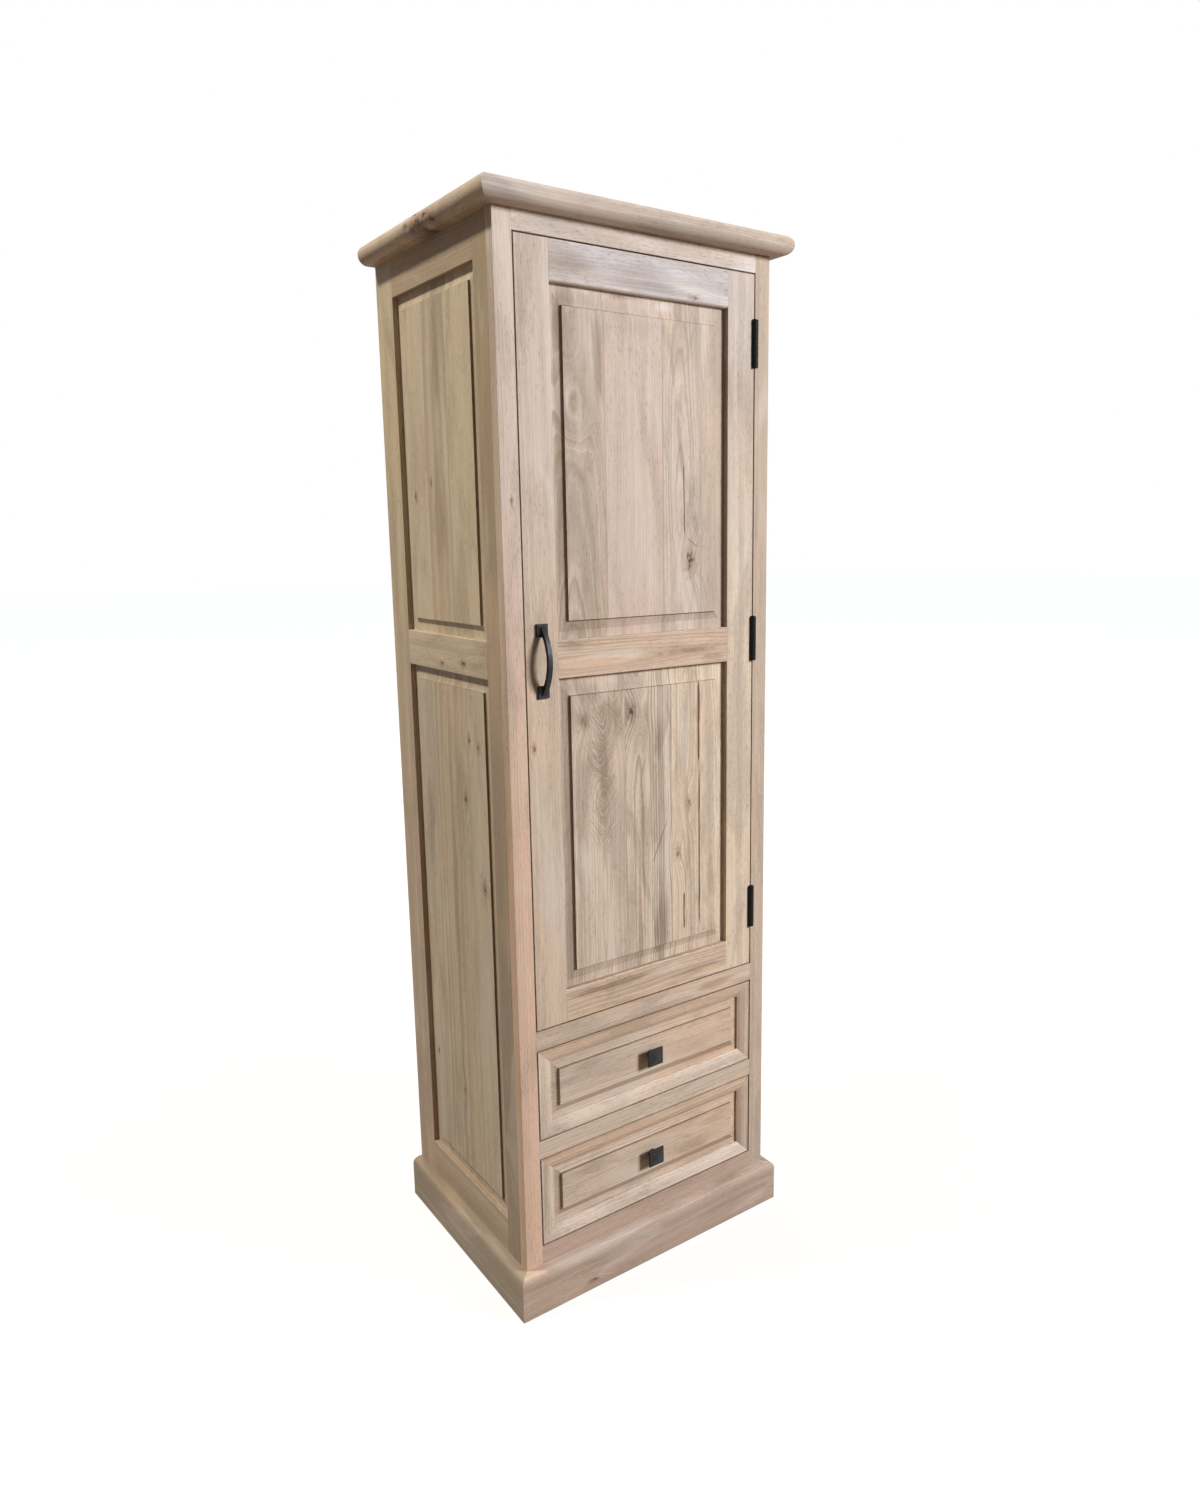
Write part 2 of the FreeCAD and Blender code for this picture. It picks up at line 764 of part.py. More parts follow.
# Mouldings round the case
def skirting(name, section, overhang, height, facing):
    """One side of a mitred moulding round the front and sides of the case.

    The section is a list of corners as (offset from the case, height).
    """
    body = new_body(name)
    span = (f"{height[0]} - overrun", f"{height[1]} + overrun")
    corner_y = f"front - {overhang}"

    def corner(sense, offset, level, *centre):
        if facing == "front":
            return (f"front - ({offset})", level, *centre)
        return (f"{facing} + {sense} * ({offset})", level, *centre)

    sense = {"left": "-1", "right": "1", "front": "1"}[facing]
    outline = []
    for offset, level, *centre in section:
        turned = [corner(sense, *centre[0])] if centre else []
        outline.append(corner(sense, offset, level, *turned))
    if facing == "front":
        add(body, "profile", f"left - {overhang}", f"right + {overhang}", outline)
        ends = (("left", "-1", "1"), ("right", "1", "-1"))
        for side, outward, inward in ends:
            corner_x = f"{side} + {outward} * {overhang}"
            mitre(body, "plan", (corner_x, corner_y), (inward, "1"), overhang, span, "u")
    else:
        add(body, "elevation", corner_y, "back", outline)
        inward = {"left": "1", "right": "-1"}[facing]
        corner_x = f"{facing} + {sense} * {overhang}"
        mitre(body, "plan", (corner_x, corner_y), (inward, "1"), overhang, span, "v")
    return keep(body, name)


def cornice():
    """The half-round moulding that covers the edge of the top board."""
    nose = "cornice_height / 2"
    flat = f"cornice_overhang - {nose}"
    centre = (flat, f"cornice_bottom + {nose}")
    section = [
        ("0", "cornice_bottom"),
        (flat, "cornice_bottom"),
        ("cornice_overhang", f"cornice_bottom + {nose}", centre),
        (flat, "total_height", centre),
        ("0", "total_height"),
    ]
    for facing in ("front", "left", "right"):
        skirting(
            f"cornice_{facing}", section, "cornice_overhang",
            ("cornice_bottom", "total_height"), facing)


def plinth():
    """The skirt round the foot, with a quarter round along its top edge."""
    shoulder = "plinth_height - plinth_projection"
    section = [
        ("0", "0"),
        ("plinth_projection", "0"),
        ("plinth_projection", shoulder),
        ("0", "plinth_height", ("0", shoulder)),
    ]
    for facing in ("front", "left", "right"):
        skirting(
            f"plinth_{facing}", section, "plinth_projection", ("0", "plinth_height"), facing)


# Inside of the case
def case_boards():
    """Top, back, dust boards, drawer guides, shelves and the pins under the shelves."""
    inside = ("left_inner", "right_inner")
    depth = ("face_frame_back", "back_panel_front")
    keep(block(
        "top_board", ("left", "right"), ("front", "back"), ("case_top", "total_height")),
        "top_board")
    back_edge = "frame_thickness - back_rebate_width + back_panel_clearance"
    keep(block(
        "back_panel", (f"left + {back_edge}", f"right - ({back_edge})"),
        ("back_panel_front", "back"), ("back_panel_foot_gap", "case_top")),
        "back_panel")
    floors = {
        "bottom_board": "lower_floor",
        "drawer_divider": "upper_floor",
        "compartment_floor": "door_opening_bottom",
    }
    for name, level in floors.items():
        keep(block(name, inside, depth, (f"{level} - board_thickness", level)), name)

    guides = []
    for level in ("lower_floor", "upper_floor"):
        for side in ("left", "right"):
            across = {
                "left": ("left_inner", "drawer_left - guide_clearance"),
                "right": ("drawer_right + guide_clearance", "right_inner"),
            }[side]
            guides.append(block(
                f"{level}_{side}_guide", across, depth, (level, f"{level} + guide_height")))
    keep(group("drawer_guides", guides), "drawer_guides")

    shelves = []
    pins = []
    for number in range(1, SHELF_COUNT + 1):
        bottom = shelf_bottom(number)
        shelves.append(block(
            f"shelf_{number}",
            ("left_inner + shelf_end_clearance", "right_inner - shelf_end_clearance"),
            ("face_frame_back + shelf_front_setback", "back_panel_front - shelf_rear_gap"),
            (bottom, f"{bottom} + board_thickness")))
        level = f"{bottom} - shelf_pin_radius"
        for place, y in (("front", FRONT_PIN_Y), ("rear", REAR_PIN_Y)):
            for side, start in (
                ("left", "left_inner - shelf_pin_depth"),
                ("right", "right_inner - shelf_pin_reach"),
            ):
                pins.append(rod(
                    f"pin_{number}_{place}_{side}", "x", (start, y, level),
                    "shelf_pin_radius", "shelf_pin_depth + shelf_pin_reach"))
    keep(group("shelves", shelves), "shelves")
    keep(group("shelf_pins", pins), "shelf_pins")


# Door
def door():
    """The framed door with its two raised panels."""
    height = ("door_bottom", "door_top")
    left_stile = frame_stile(
        "door_left_stile", "front", ("door_left", "door_panel_left"), height, False, True)
    drill(
        left_stile, "elevation", "front - overrun", "door_back + overrun",
        "handle_screw_radius + running_clearance",
        [("handle_x", f"handle_z + {way} * handle_screw_offset") for way in (-1, 1)])
    keep(left_stile, "door_left_stile")
    right_board = frame_stile(
        "door_right_board", "front", ("door_panel_right", "door_right"), height, True, False)
    beds = hinge_cuts("door_right", "-x", ("door_leaf_back", "hinge_x"))
    keep(cut("door_right_stile", right_board, beds), "door_right_stile")

    between = ("door_panel_left", "door_panel_right")
    rails = {
        "door_top_rail": (("door_top_rail_bottom", "door_top"), True, False),
        "door_centre_rail": (("centre_rail_bottom", "centre_rail_top"), True, True),
        "door_bottom_rail": (("door_bottom", "door_bottom_rail_top"), False, True),
    }
    for name, (rail_height, lower_groove, upper_groove) in rails.items():
        keep(frame_rail(name, "front", between, rail_height, lower_groove, upper_groove), name)

    openings = {
        "door_lower_panel": ("door_bottom_rail_top", "centre_rail_bottom"),
        "door_upper_panel": ("centre_rail_top", "door_top_rail_bottom"),
    }
    for name, opening in openings.items():
        panel = raised_panel(
            name, "front", between, opening, "bevel_width", "door_bevel_end", "door_bevel_end")
        keep(panel, name)


# Hinges
def knuckles(name, side, numbers, radius, inset):
    """Coaxial cylinders over some of the knuckle lengths of one hinge."""
    foot = f"{hinge_centre(side)} - hinge_length / 2"
    step = f"hinge_length / {KNUCKLE_COUNT}"
    return [
        rod(
            f"{name}_{number}", "z",
            ("hinge_x", "hinge_y", f"{foot} + {number} * {step} + {inset}"),
            radius, f"{step} - 2 * ({inset})")
        for number in numbers
    ]


def leaf(name, side, own, others, across, way, face):
    """One leaf of a hinge with its knuckles, pin bore and countersunk screw holes."""
    centre = hinge_centre(side)
    height = (f"{centre} - hinge_length / 2", f"{centre} + hinge_length / 2")
    plate = block(f"{name}_plate", across, ("hinge_y", "leaf_rear"), height)
    free_plate = cut(f"{name}_free_plate", plate, knuckles(
        f"{name}_free", side, others, "knuckle_radius + knuckle_gap", "0"))
    inset = "knuckle_gap" if 0 not in own else "0"
    barrel = knuckles(f"{name}_knuckle", side, own, "knuckle_radius", inset)
    whole = joined(f"{name}_whole", [free_plate, *barrel])
    tools = [rod(
        f"{name}_bore", "z", ("hinge_x", "hinge_y", f"{height[0]} - overrun"),
        "hinge_pin_hole_radius", "hinge_length + 2 * overrun")]
    for step, level in enumerate(screw_heights(side), start=1):
        base = (face, "hinge_screw_y", level)
        sink = taper(
            f"{name}_sink_{step}", way, base, "hinge_screw_sink_radius",
            "hinge_screw_hole_radius", "hinge_screw_head_height")
        hole = rod(
            f"{name}_hole_{step}", way, base, "hinge_screw_hole_radius",
            "leaf_thickness + overrun")
        tools.append(joined(f"{name}_screw_way_{step}", [sink, hole]))
    return cut(name, whole, tools)


def hinge_screw(name, way, face, level):
    """A countersunk wood screw, flush with the face of its leaf."""
    base = (face, "hinge_screw_y", level)
    head = taper(
        f"{name}_head", way, base, "hinge_screw_head_radius", "hinge_screw_radius",
        "hinge_screw_head_height")
    shank = rod(f"{name}_shank", way, base, "hinge_screw_radius", "hinge_screw_length")
    return joined(name, [head, shank])


def hinge_pin(name, side):
    """A hinge pin with a low round head on top of the barrel."""
    foot = f"{hinge_centre(side)} - hinge_length / 2"
    shank = rod(
        f"{name}_shank", "z", ("hinge_x", "hinge_y", foot), "hinge_pin_radius", "hinge_length")
    head = rod(
        f"{name}_head", "z", ("hinge_x", "hinge_y", f"{foot} + hinge_length"),
        "hinge_pin_head_radius", "hinge_pin_head_height")
    return joined(name, [shank, head])


def hinges():
    """Three butt hinges: leaves on the case, leaves on the door, pins and screws."""
    case_knuckles = range(0, KNUCKLE_COUNT, 2)
    door_knuckles = range(1, KNUCKLE_COUNT, 2)
    case_leaves = []
    door_leaves = []
    pins = []
    case_screws = []
    door_screws = []
    for number, side in enumerate(HINGE_SIDES, start=1):
        case_leaves.append(leaf(
            f"case_leaf_{number}", side, case_knuckles, door_knuckles,
            ("case_leaf_front", "case_leaf_back"), "x", "case_leaf_front"))
        door_leaves.append(leaf(
            f"door_leaf_{number}", side, door_knuckles, case_knuckles,
            ("door_leaf_back", "door_leaf_front"), "-x", "door_leaf_front"))
        pins.append(hinge_pin(f"pin_of_hinge_{number}", side))
        for step, level in enumerate(screw_heights(side), start=1):
            case_screws.append(hinge_screw(
                f"case_screw_{number}_{step}", "x", "case_leaf_front", level))
            door_screws.append(hinge_screw(
                f"door_screw_{number}_{step}", "-x", "door_leaf_front", level))
    keep(group("hinge_case_leaves", case_leaves), "hinge_case_leaves")
    keep(group("hinge_door_leaves", door_leaves), "hinge_door_leaves")
    keep(group("hinge_pins", pins), "hinge_pins")
    keep(group("hinge_case_screws", case_screws), "hinge_case_screws")
    keep(group("hinge_door_screws", door_screws), "hinge_door_screws")


# Door pull and catch
def bow_outline():
    """The side view of the pull's arched bar, rooted inside its two feet."""
    root = "front - handle_foot_thickness / 2"
    outer_centre = ("handle_foot_front - bow_outer_rise + bow_outer_radius", "handle_z")
    inner_centre = ("handle_foot_front - bow_inner_rise + bow_inner_radius", "handle_z")
    return [
        (root, "handle_z - bow_outer_half"),
        ("handle_foot_front", "handle_z - bow_outer_half"),
        ("handle_foot_front", "handle_z + bow_outer_half", outer_centre),
        (root, "handle_z + bow_outer_half"),
        (root, "handle_z + bow_inner_half"),
        ("handle_foot_front", "handle_z + bow_inner_half"),
        ("handle_foot_front", "handle_z - bow_inner_half", inner_centre),
        (root, "handle_z - bow_inner_half"),
    ]


def door_handle():
    """The arched pull on two square feet, and the screws that hold it from behind."""
    body = new_body("door_handle")
    half_foot = "handle_foot_size / 2"
    centres = [f"handle_z + {way} * handle_screw_offset" for way in (-1, 1)]
    add(
        body, "elevation", "handle_foot_front", "front",
        rectangle(
            (f"handle_x - {half_foot}", f"handle_x + {half_foot}"),
            (f"{centres[0]} - {half_foot}", f"{centres[0]} + {half_foot}")))
    add(
        body, "profile", "handle_x - bow_width / 2", "handle_x + bow_width / 2", bow_outline())
    add(
        body, "elevation", "handle_foot_front", "front",
        rectangle(
            (f"handle_x - {half_foot}", f"handle_x + {half_foot}"),
            (f"{centres[1]} - {half_foot}", f"{centres[1]} + {half_foot}")))
    drill(
        body, "elevation", "front - handle_hole_depth", "front",
        "handle_screw_radius + running_clearance", [("handle_x", z) for z in centres])
    keep(body, "door_handle")

    screws = []
    for number, z in enumerate(centres, start=1):
        shank = rod(
            f"handle_screw_shank_{number}", "-y", ("handle_x", "door_back", z),
            "handle_screw_radius",
            "frame_thickness + handle_hole_depth - handle_screw_end_gap")
        head = rod(
            f"handle_screw_head_{number}", "y", ("handle_x", "door_back", z),
            "handle_screw_head_radius", "handle_screw_head_height")
        screws.append(joined(f"handle_screw_{number}", [shank, head]))
    keep(group("handle_screws", screws), "handle_screws")


def catch():
    """The magnetic catch on the case and the plate that it holds on the door."""
    half = "catch_thickness / 2"
    front_of_catch = "door_back + strike_thickness + catch_gap"
    keep(block(
        "door_catch", ("left_inner", "left_inner + catch_width"),
        (front_of_catch, f"{front_of_catch} + catch_depth"),
        (f"catch_z - {half}", f"catch_z + {half}")), "door_catch")
    half = "strike_height / 2"
    keep(block(
        "catch_strike",
        ("door_left + strike_inset", "door_left + strike_inset + strike_width"),
        ("door_back", "door_back + strike_thickness"),
        (f"catch_z - {half}", f"catch_z + {half}")), "catch_strike")


# Drawers
def moulding_section(point, outer, sense):
    """A drawer-front moulding: a flat rim, a rounded fall and a groove for the panel."""
    inner = f"{outer} + {sense} * moulding_width"
    groove_floor = f"{outer} + {sense} * (moulding_width - groove_depth)"
    groove_back = "panel_recess + groove_width"
    crest = f"{outer} + {sense} * moulding_flat"
    centre = point("front", crest, "moulding_radius")
    return [
        point("front", outer, "0"),
        point("front", crest, "0"),
        point("front", inner, "moulding_drop", centre),
        point("front", inner, "panel_recess"),
        point("front", groove_floor, "panel_recess"),
        point("front", groove_floor, groove_back),
        point("front", inner, groove_back),
        point("front", inner, "frame_thickness"),
        point("front", outer, "frame_thickness"),
    ]


def drawer_front(name, bottom, top):
    """Four mitred mouldings round one raised panel."""
    span = ("front - overrun", "door_back + overrun")
    corners = {
        ("left", "bottom"): (("drawer_left", bottom), ("1", "1")),
        ("left", "top"): (("drawer_left", top), ("1", "-1")),
        ("right", "bottom"): (("drawer_right", bottom), ("-1", "1")),
        ("right", "top"): (("drawer_right", top), ("-1", "-1")),
    }
    pieces = []
    for side, outer, sense in (("left", "drawer_left", "1"), ("right", "drawer_right", "-1")):
        body = new_body(f"{name}_front_{side}")
        add(body, "plan", bottom, top, moulding_section(plan_point, outer, sense))
        for end in ("bottom", "top"):
            corner, inward = corners[side, end]
            mitre(body, "elevation", corner, inward, "moulding_width", span, "v")
        pieces.append(body)
    for end, outer, sense in (("bottom", bottom, "1"), ("top", top, "-1")):
        body = new_body(f"{name}_front_{end}")
        add(body, "profile", "drawer_left", "drawer_right", moulding_section(
            upright_point, outer, sense))
        for side in ("left", "right"):
            corner, inward = corners[side, end]
            mitre(body, "elevation", corner, inward, "moulding_width", span, "u")
        pieces.append(body)
    keep(group(f"{name}_front_frame", pieces), f"{name}_front_frame")


def knob(name, centre):
    """A square knob with a low point, a round neck and a stud into the drawer front."""
    body = new_body(name)
    seat = "front + field_recess"
    rim_front = "front - knob_projection"
    rim_back = f"{rim_front} + knob_rim_thickness"
    half = "knob_size / 2"
    point = "knob_point_size / 2"
    square = rectangle((f"-{half}", half), (f"{centre} - {half}", f"{centre} + {half}"))
    tip = rectangle((f"-{point}", point), (f"{centre} - {point}", f"{centre} + {point}"))
    add(body, "elevation", rim_front, rim_back, square)
    foot = new_sketch(body, "elevation", rim_front)
    draw(foot, square)
    crown = new_sketch(body, "elevation", f"{rim_front} - knob_point_height")
    draw(crown, tip)
    loft = body.newObject("PartDesign::AdditiveLoft", f"{name}_point")
    loft.Profile = foot
    loft.Sections = [crown]
    loft.Ruled = True
    add_disc(body, "elevation", rim_back, seat, "0", centre, "knob_neck_radius")
    add_disc(
        body, "elevation", f"{seat} - knob_flange_thickness", seat, "0", centre,
        "knob_flange_radius")
    add_disc(
        body, "elevation", seat, f"{seat} + knob_stud_length", "0", centre, "knob_stud_radius")
    return keep(body, name)


def drawer(name, floor):
    """A drawer: framed front, box with a let-in bottom, and a knob."""
    bottom = f"{floor} + drawer_gap"
    top = f"{floor} + drawer_opening_height - drawer_gap"
    centre = f"{floor} + drawer_opening_height / 2 + drawer_field_rise"
    drawer_front(name, bottom, top)
    panel = raised_panel(
        f"{name}_front_panel", "front",
        ("drawer_left + moulding_width", "drawer_right - moulding_width"),
        (f"{bottom} + moulding_width", f"{top} - moulding_width"),
        "drawer_bevel_side", "drawer_bevel_end + drawer_field_rise",
        "drawer_bevel_end - drawer_field_rise")
    drill(
        panel, "elevation", "front", f"front + field_recess + knob_stud_length",
        "knob_stud_radius + running_clearance", [("0", centre)])
    keep(panel, f"{name}_front_panel")

    foot = f"{floor} + drawer_run_clearance"
    head = f"{foot} + drawer_side_height"
    depth = ("door_back", "drawer_rear")
    sheet_bottom = f"{foot} + drawer_bottom_rise"
    sheet_top = f"{sheet_bottom} + drawer_bottom_thickness"
    slot = (sheet_bottom, f"{sheet_top} + tongue_clearance")
    left_face = "drawer_left + drawer_side_thickness"
    right_face = "drawer_right - drawer_side_thickness"
    sides = {
        "left": (("drawer_left", left_face), (f"{left_face} - drawer_bottom_groove", left_face)),
        "right": (
            (right_face, "drawer_right"), (right_face, f"{right_face} + drawer_bottom_groove")),
    }
    for side, (across, groove) in sides.items():
        board = block(f"{name}_{side}_board", across, depth, (foot, head))
        groove_tool = block(f"{name}_{side}_groove", groove, depth, slot)
        keep(cut(f"{name}_{side}_side", board, [groove_tool]), f"{name}_{side}_side")
    keep(block(
        f"{name}_back", (left_face, right_face),
        ("drawer_rear - drawer_side_thickness", "drawer_rear"), (sheet_top, head)),
        f"{name}_back")
    reach = "drawer_bottom_groove - tongue_clearance"
    keep(block(
        f"{name}_bottom", (f"{left_face} - ({reach})", f"{right_face} + {reach}"), depth,
        (sheet_bottom, sheet_top)), f"{name}_bottom")
    knob(f"{name}_knob", centre)


# Checks and output
def check():
    """Stops at any failed feature, empty shape or pocket that cut nothing."""
    for item in document.Objects:
        if "Invalid" in item.State or "Error" in item.State:
            raise RuntimeError(f"{item.Label} failed: {item.State}")
    for pocket in pockets:
        if pocket.Shape.Volume >= pocket.BaseFeature.Shape.Volume:
            raise RuntimeError(f"{pocket.Label} cut nothing")
    for subpart in subparts:
        if subpart.Shape.isNull() or not subpart.Shape.isValid():
            raise RuntimeError(f"{subpart.Label} has no valid shape")


def export():
    """Writes each sub-part to a file named after its label."""
    os.makedirs("parts", exist_ok=True)
    for subpart in subparts:
        subpart.Shape.exportStep(f"parts/{subpart.Label}.step")


face_frame()
side_frame("left")
side_frame("right")
cornice()
plinth()
case_boards()
door()
hinges()
door_handle()
catch()
drawer("upper_drawer", "upper_floor")
drawer("lower_drawer", "lower_floor")
document.recompute()
check()
export()
print(f"{len(subparts)} sub-parts written")
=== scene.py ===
import json
import math
import random
from collections import namedtuple

import bmesh
import bpy
from bpy.props import FloatProperty, FloatVectorProperty, PointerProperty
from mathutils import Matrix, Vector


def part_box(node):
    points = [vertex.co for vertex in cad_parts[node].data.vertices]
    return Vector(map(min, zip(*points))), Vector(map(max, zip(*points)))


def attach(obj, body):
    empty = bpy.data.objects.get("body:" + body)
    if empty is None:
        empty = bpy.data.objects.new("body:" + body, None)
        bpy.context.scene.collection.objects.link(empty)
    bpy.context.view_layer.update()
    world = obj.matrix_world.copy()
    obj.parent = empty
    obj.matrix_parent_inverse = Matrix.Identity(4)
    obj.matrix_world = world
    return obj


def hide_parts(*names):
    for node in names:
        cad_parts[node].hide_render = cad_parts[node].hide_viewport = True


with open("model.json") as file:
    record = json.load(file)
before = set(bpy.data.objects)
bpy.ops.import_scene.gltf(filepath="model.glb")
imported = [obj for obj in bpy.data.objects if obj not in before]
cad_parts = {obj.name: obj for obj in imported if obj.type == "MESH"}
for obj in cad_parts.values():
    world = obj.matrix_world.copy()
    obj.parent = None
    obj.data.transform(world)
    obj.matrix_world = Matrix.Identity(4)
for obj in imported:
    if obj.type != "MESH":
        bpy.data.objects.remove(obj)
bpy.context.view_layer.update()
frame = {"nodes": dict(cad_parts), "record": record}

bl_info = {
    "name": "Tall Cabinet",
    "version": (1, 0, 0),
    "blender": (4, 5, 0),
    "location": "View3D > Sidebar > Cabinet",
    "description": "Dresses the tall cabinet in timber and iron and sets it in a pale studio",
    "category": "Object",
}

SLOTS = {part["node"]: part["material_slot"] for part in frame["record"]["subparts"]}
BODIES = {
    node: body
    for body, nodes in frame["record"]["behaviour"]["bodies"].items()
    for node in nodes
}


# Sizes, colours and lamps that a user would change
def setting(name, description, default, kind=FloatProperty, **options):
    """A property with its name, description and default."""
    return kind(name=name, description=description, default=default, **options)


def length(name, description, default):
    """A length property in metres."""
    return setting(name, description, default, unit="LENGTH", precision=5)


def share(name, description, default):
    """A property between nought and one."""
    return setting(name, description, default, subtype="FACTOR", min=0.0, max=1.0)


def power(name, description, default):
    """The power of a lamp."""
    return setting(name, description, default, unit="POWER")


def colour(name, description, default):
    """A colour property."""
    return setting(
        name, description, default, FloatVectorProperty, subtype="COLOR", min=0.0, max=1.0)


class CabinetSizes(bpy.types.PropertyGroup):
    timber_arris: length("Timber arris", "Rounding of the outer edges of boards", 0.0008)
    field_arris: length("Field arris", "Rounding of the raised fields' edges", 0.0008)
    rail_arris: length("Rail arris", "Rounding of the lower rails and the drawer fronts", 0.0014)
    soft_arris: length("Soft arris", "Rounding of the door's top rail over the panel", 0.004)
    plinth_rim: length("Plinth rim", "Rounding of the plinth's edges at the floor and rear", 0.0045)
    cornice_corner: length("Cornice corner", "Rounding of the cornice's mitred corners", 0.006)
    plinth_corner: length("Plinth corner", "Rounding of the plinth's mitred corners", 0.005)
    iron_arris: length("Iron arris", "Rounding of the iron pull's edges", 0.0016)
    knob_arris: length("Knob arris", "Rounding of the knobs' edges", 0.0006)
    knuckle_arris: length("Knuckle arris", "Rounding of the hinge knuckles' ends", 0.0003)
    knuckle_swell: share("Knuckle swell", "How far the hinge knuckles stand out beyond the pin", 0.2)
    ring_pitch: length("Ring pitch", "Distance between growth rings", 0.0058)


class CabinetColours(bpy.types.PropertyGroup):
    pale: colour("Pale timber", "Washed boards of the front", (0.69, 0.57, 0.49))
    cream: colour("Cream timber", "Pale warm boards", (0.74, 0.61, 0.48))
    blush: colour("Blush timber", "Plain pinkish boards", (0.67, 0.535, 0.46))
    mist: colour("Misty timber", "Boards with a cool lime wash", (0.76, 0.69, 0.665))
    ash: colour("Ashen timber", "Greyish brown boards", (0.58, 0.47, 0.385))
    rosy: colour("Rosy timber", "Boards with a salmon cast", (0.69, 0.51, 0.40))
    tan: colour("Tan timber", "Warm tan boards", (0.70, 0.525, 0.40))
    fawn: colour("Fawn timber", "Duller tan boards", (0.62, 0.49, 0.385))
    brick: colour("Brick timber", "Darker rosy tan boards", (0.74, 0.525, 0.372))
    olive: colour("Olive timber", "Boards of the sides", (0.72, 0.62, 0.47))
    moss: colour("Mossy timber", "Greyer boards of the sides", (0.64, 0.545, 0.41))
    umber: colour("Umber timber", "Brown boards of the sides", (0.44, 0.34, 0.225))
    salmon: colour("Salmon timber", "Orange pink boards", (0.80, 0.54, 0.395))
    honey: colour("Honey timber", "Bright warm boards", (0.78, 0.57, 0.41))
    dove: colour("Dove timber", "Greyish pink boards", (0.475, 0.405, 0.375))
    fog: colour("Foggy timber", "Cool grey boards", (0.665, 0.64, 0.67))
    toast: colour("Toasted timber", "Deep tan boards", (0.535, 0.415, 0.32))
    clay: colour("Clay timber", "Reddish brown boards low on the front", (0.59, 0.42, 0.33))
    butter: colour("Butter timber", "The palest warm boards", (0.82, 0.67, 0.51))
    linen: colour("Linen timber", "Pale boards low on the drawers", (0.87, 0.715, 0.59))
    shell: colour("Shell timber", "Soft greyish pink boards", (0.59, 0.51, 0.455))
    oat: colour("Oat timber", "Duller pale boards", (0.70, 0.56, 0.43))
    straw: colour("Straw timber", "Warm boards of the sides", (0.69, 0.58, 0.395))
    wheat: colour("Wheat timber", "Warm pale boards of the door", (0.735, 0.585, 0.46))
    reed: colour("Reed timber", "Greyish green boards of the sides", (0.66, 0.58, 0.475))
    bark: colour("Bark timber", "Dark boards low on the sides", (0.345, 0.27, 0.205))
    drift: colour("Drift timber", "Greyish dark boards", (0.39, 0.33, 0.263))
    inside: colour("Inner timber", "Unwashed boards inside", (0.52, 0.38, 0.25))
    # The late wood is also multiplied over marked faces as painted shade
    late: colour("Late wood", "Dark part of each growth ring", (0.335, 0.25, 0.18))
    stain: colour("Grey stain", "Grey zones that follow the rings", (0.42, 0.34, 0.275))
    heart: colour("Knot heart", "Middle of a knot", (0.06, 0.032, 0.02))
    split: colour("Split", "Bottom of a crack", (0.15, 0.075, 0.042))
    russet: colour("Knot ring", "Reddish brown round a knot", (0.47, 0.29, 0.2))
    # The lime wash is also laid over rounded edges, partly as wear and partly as painted highlight
    wash: colour("Lime wash", "White residue in the grain", (0.77, 0.69, 0.61))
    iron: colour("Black iron", "Pull, knobs and hinges", (0.007, 0.0075, 0.009))
    steel: colour("Plated steel", "Screws, shelf pins and strike plate", (0.3, 0.295, 0.285))
    plastic: colour("Catch body", "Magnetic catch", (0.16, 0.085, 0.045))


class CabinetStudio(bpy.types.PropertyGroup):
    ambient: share("Ambient", "Strength of the even light from all round", 0.055)
    front_power: power("Front light", "Power of the wide lamp before the front", 398.0)
    side_power: power("Side light", "Power of the small lamp high beyond the left side", 585.0)
    back_power: power("Back light", "Power of the wide lamp behind the cabinet", 110.0)
    floor_lift: share("Floor lift", "What the camera sees added to the floor's own tone", 0.9)
    lens: setting("Lens", "Focal length for a 36 mm sensor", 24.878, unit="CAMERA")


def settings():
    """The scene's sizes, colours and studio settings."""
    scene = bpy.context.scene
    return scene.cabinet_sizes, scene.cabinet_colours, scene.cabinet_studio


def hue(name):
    """A colour of the settings as a socket takes it."""
    return (*getattr(settings()[1], name), 1.0)


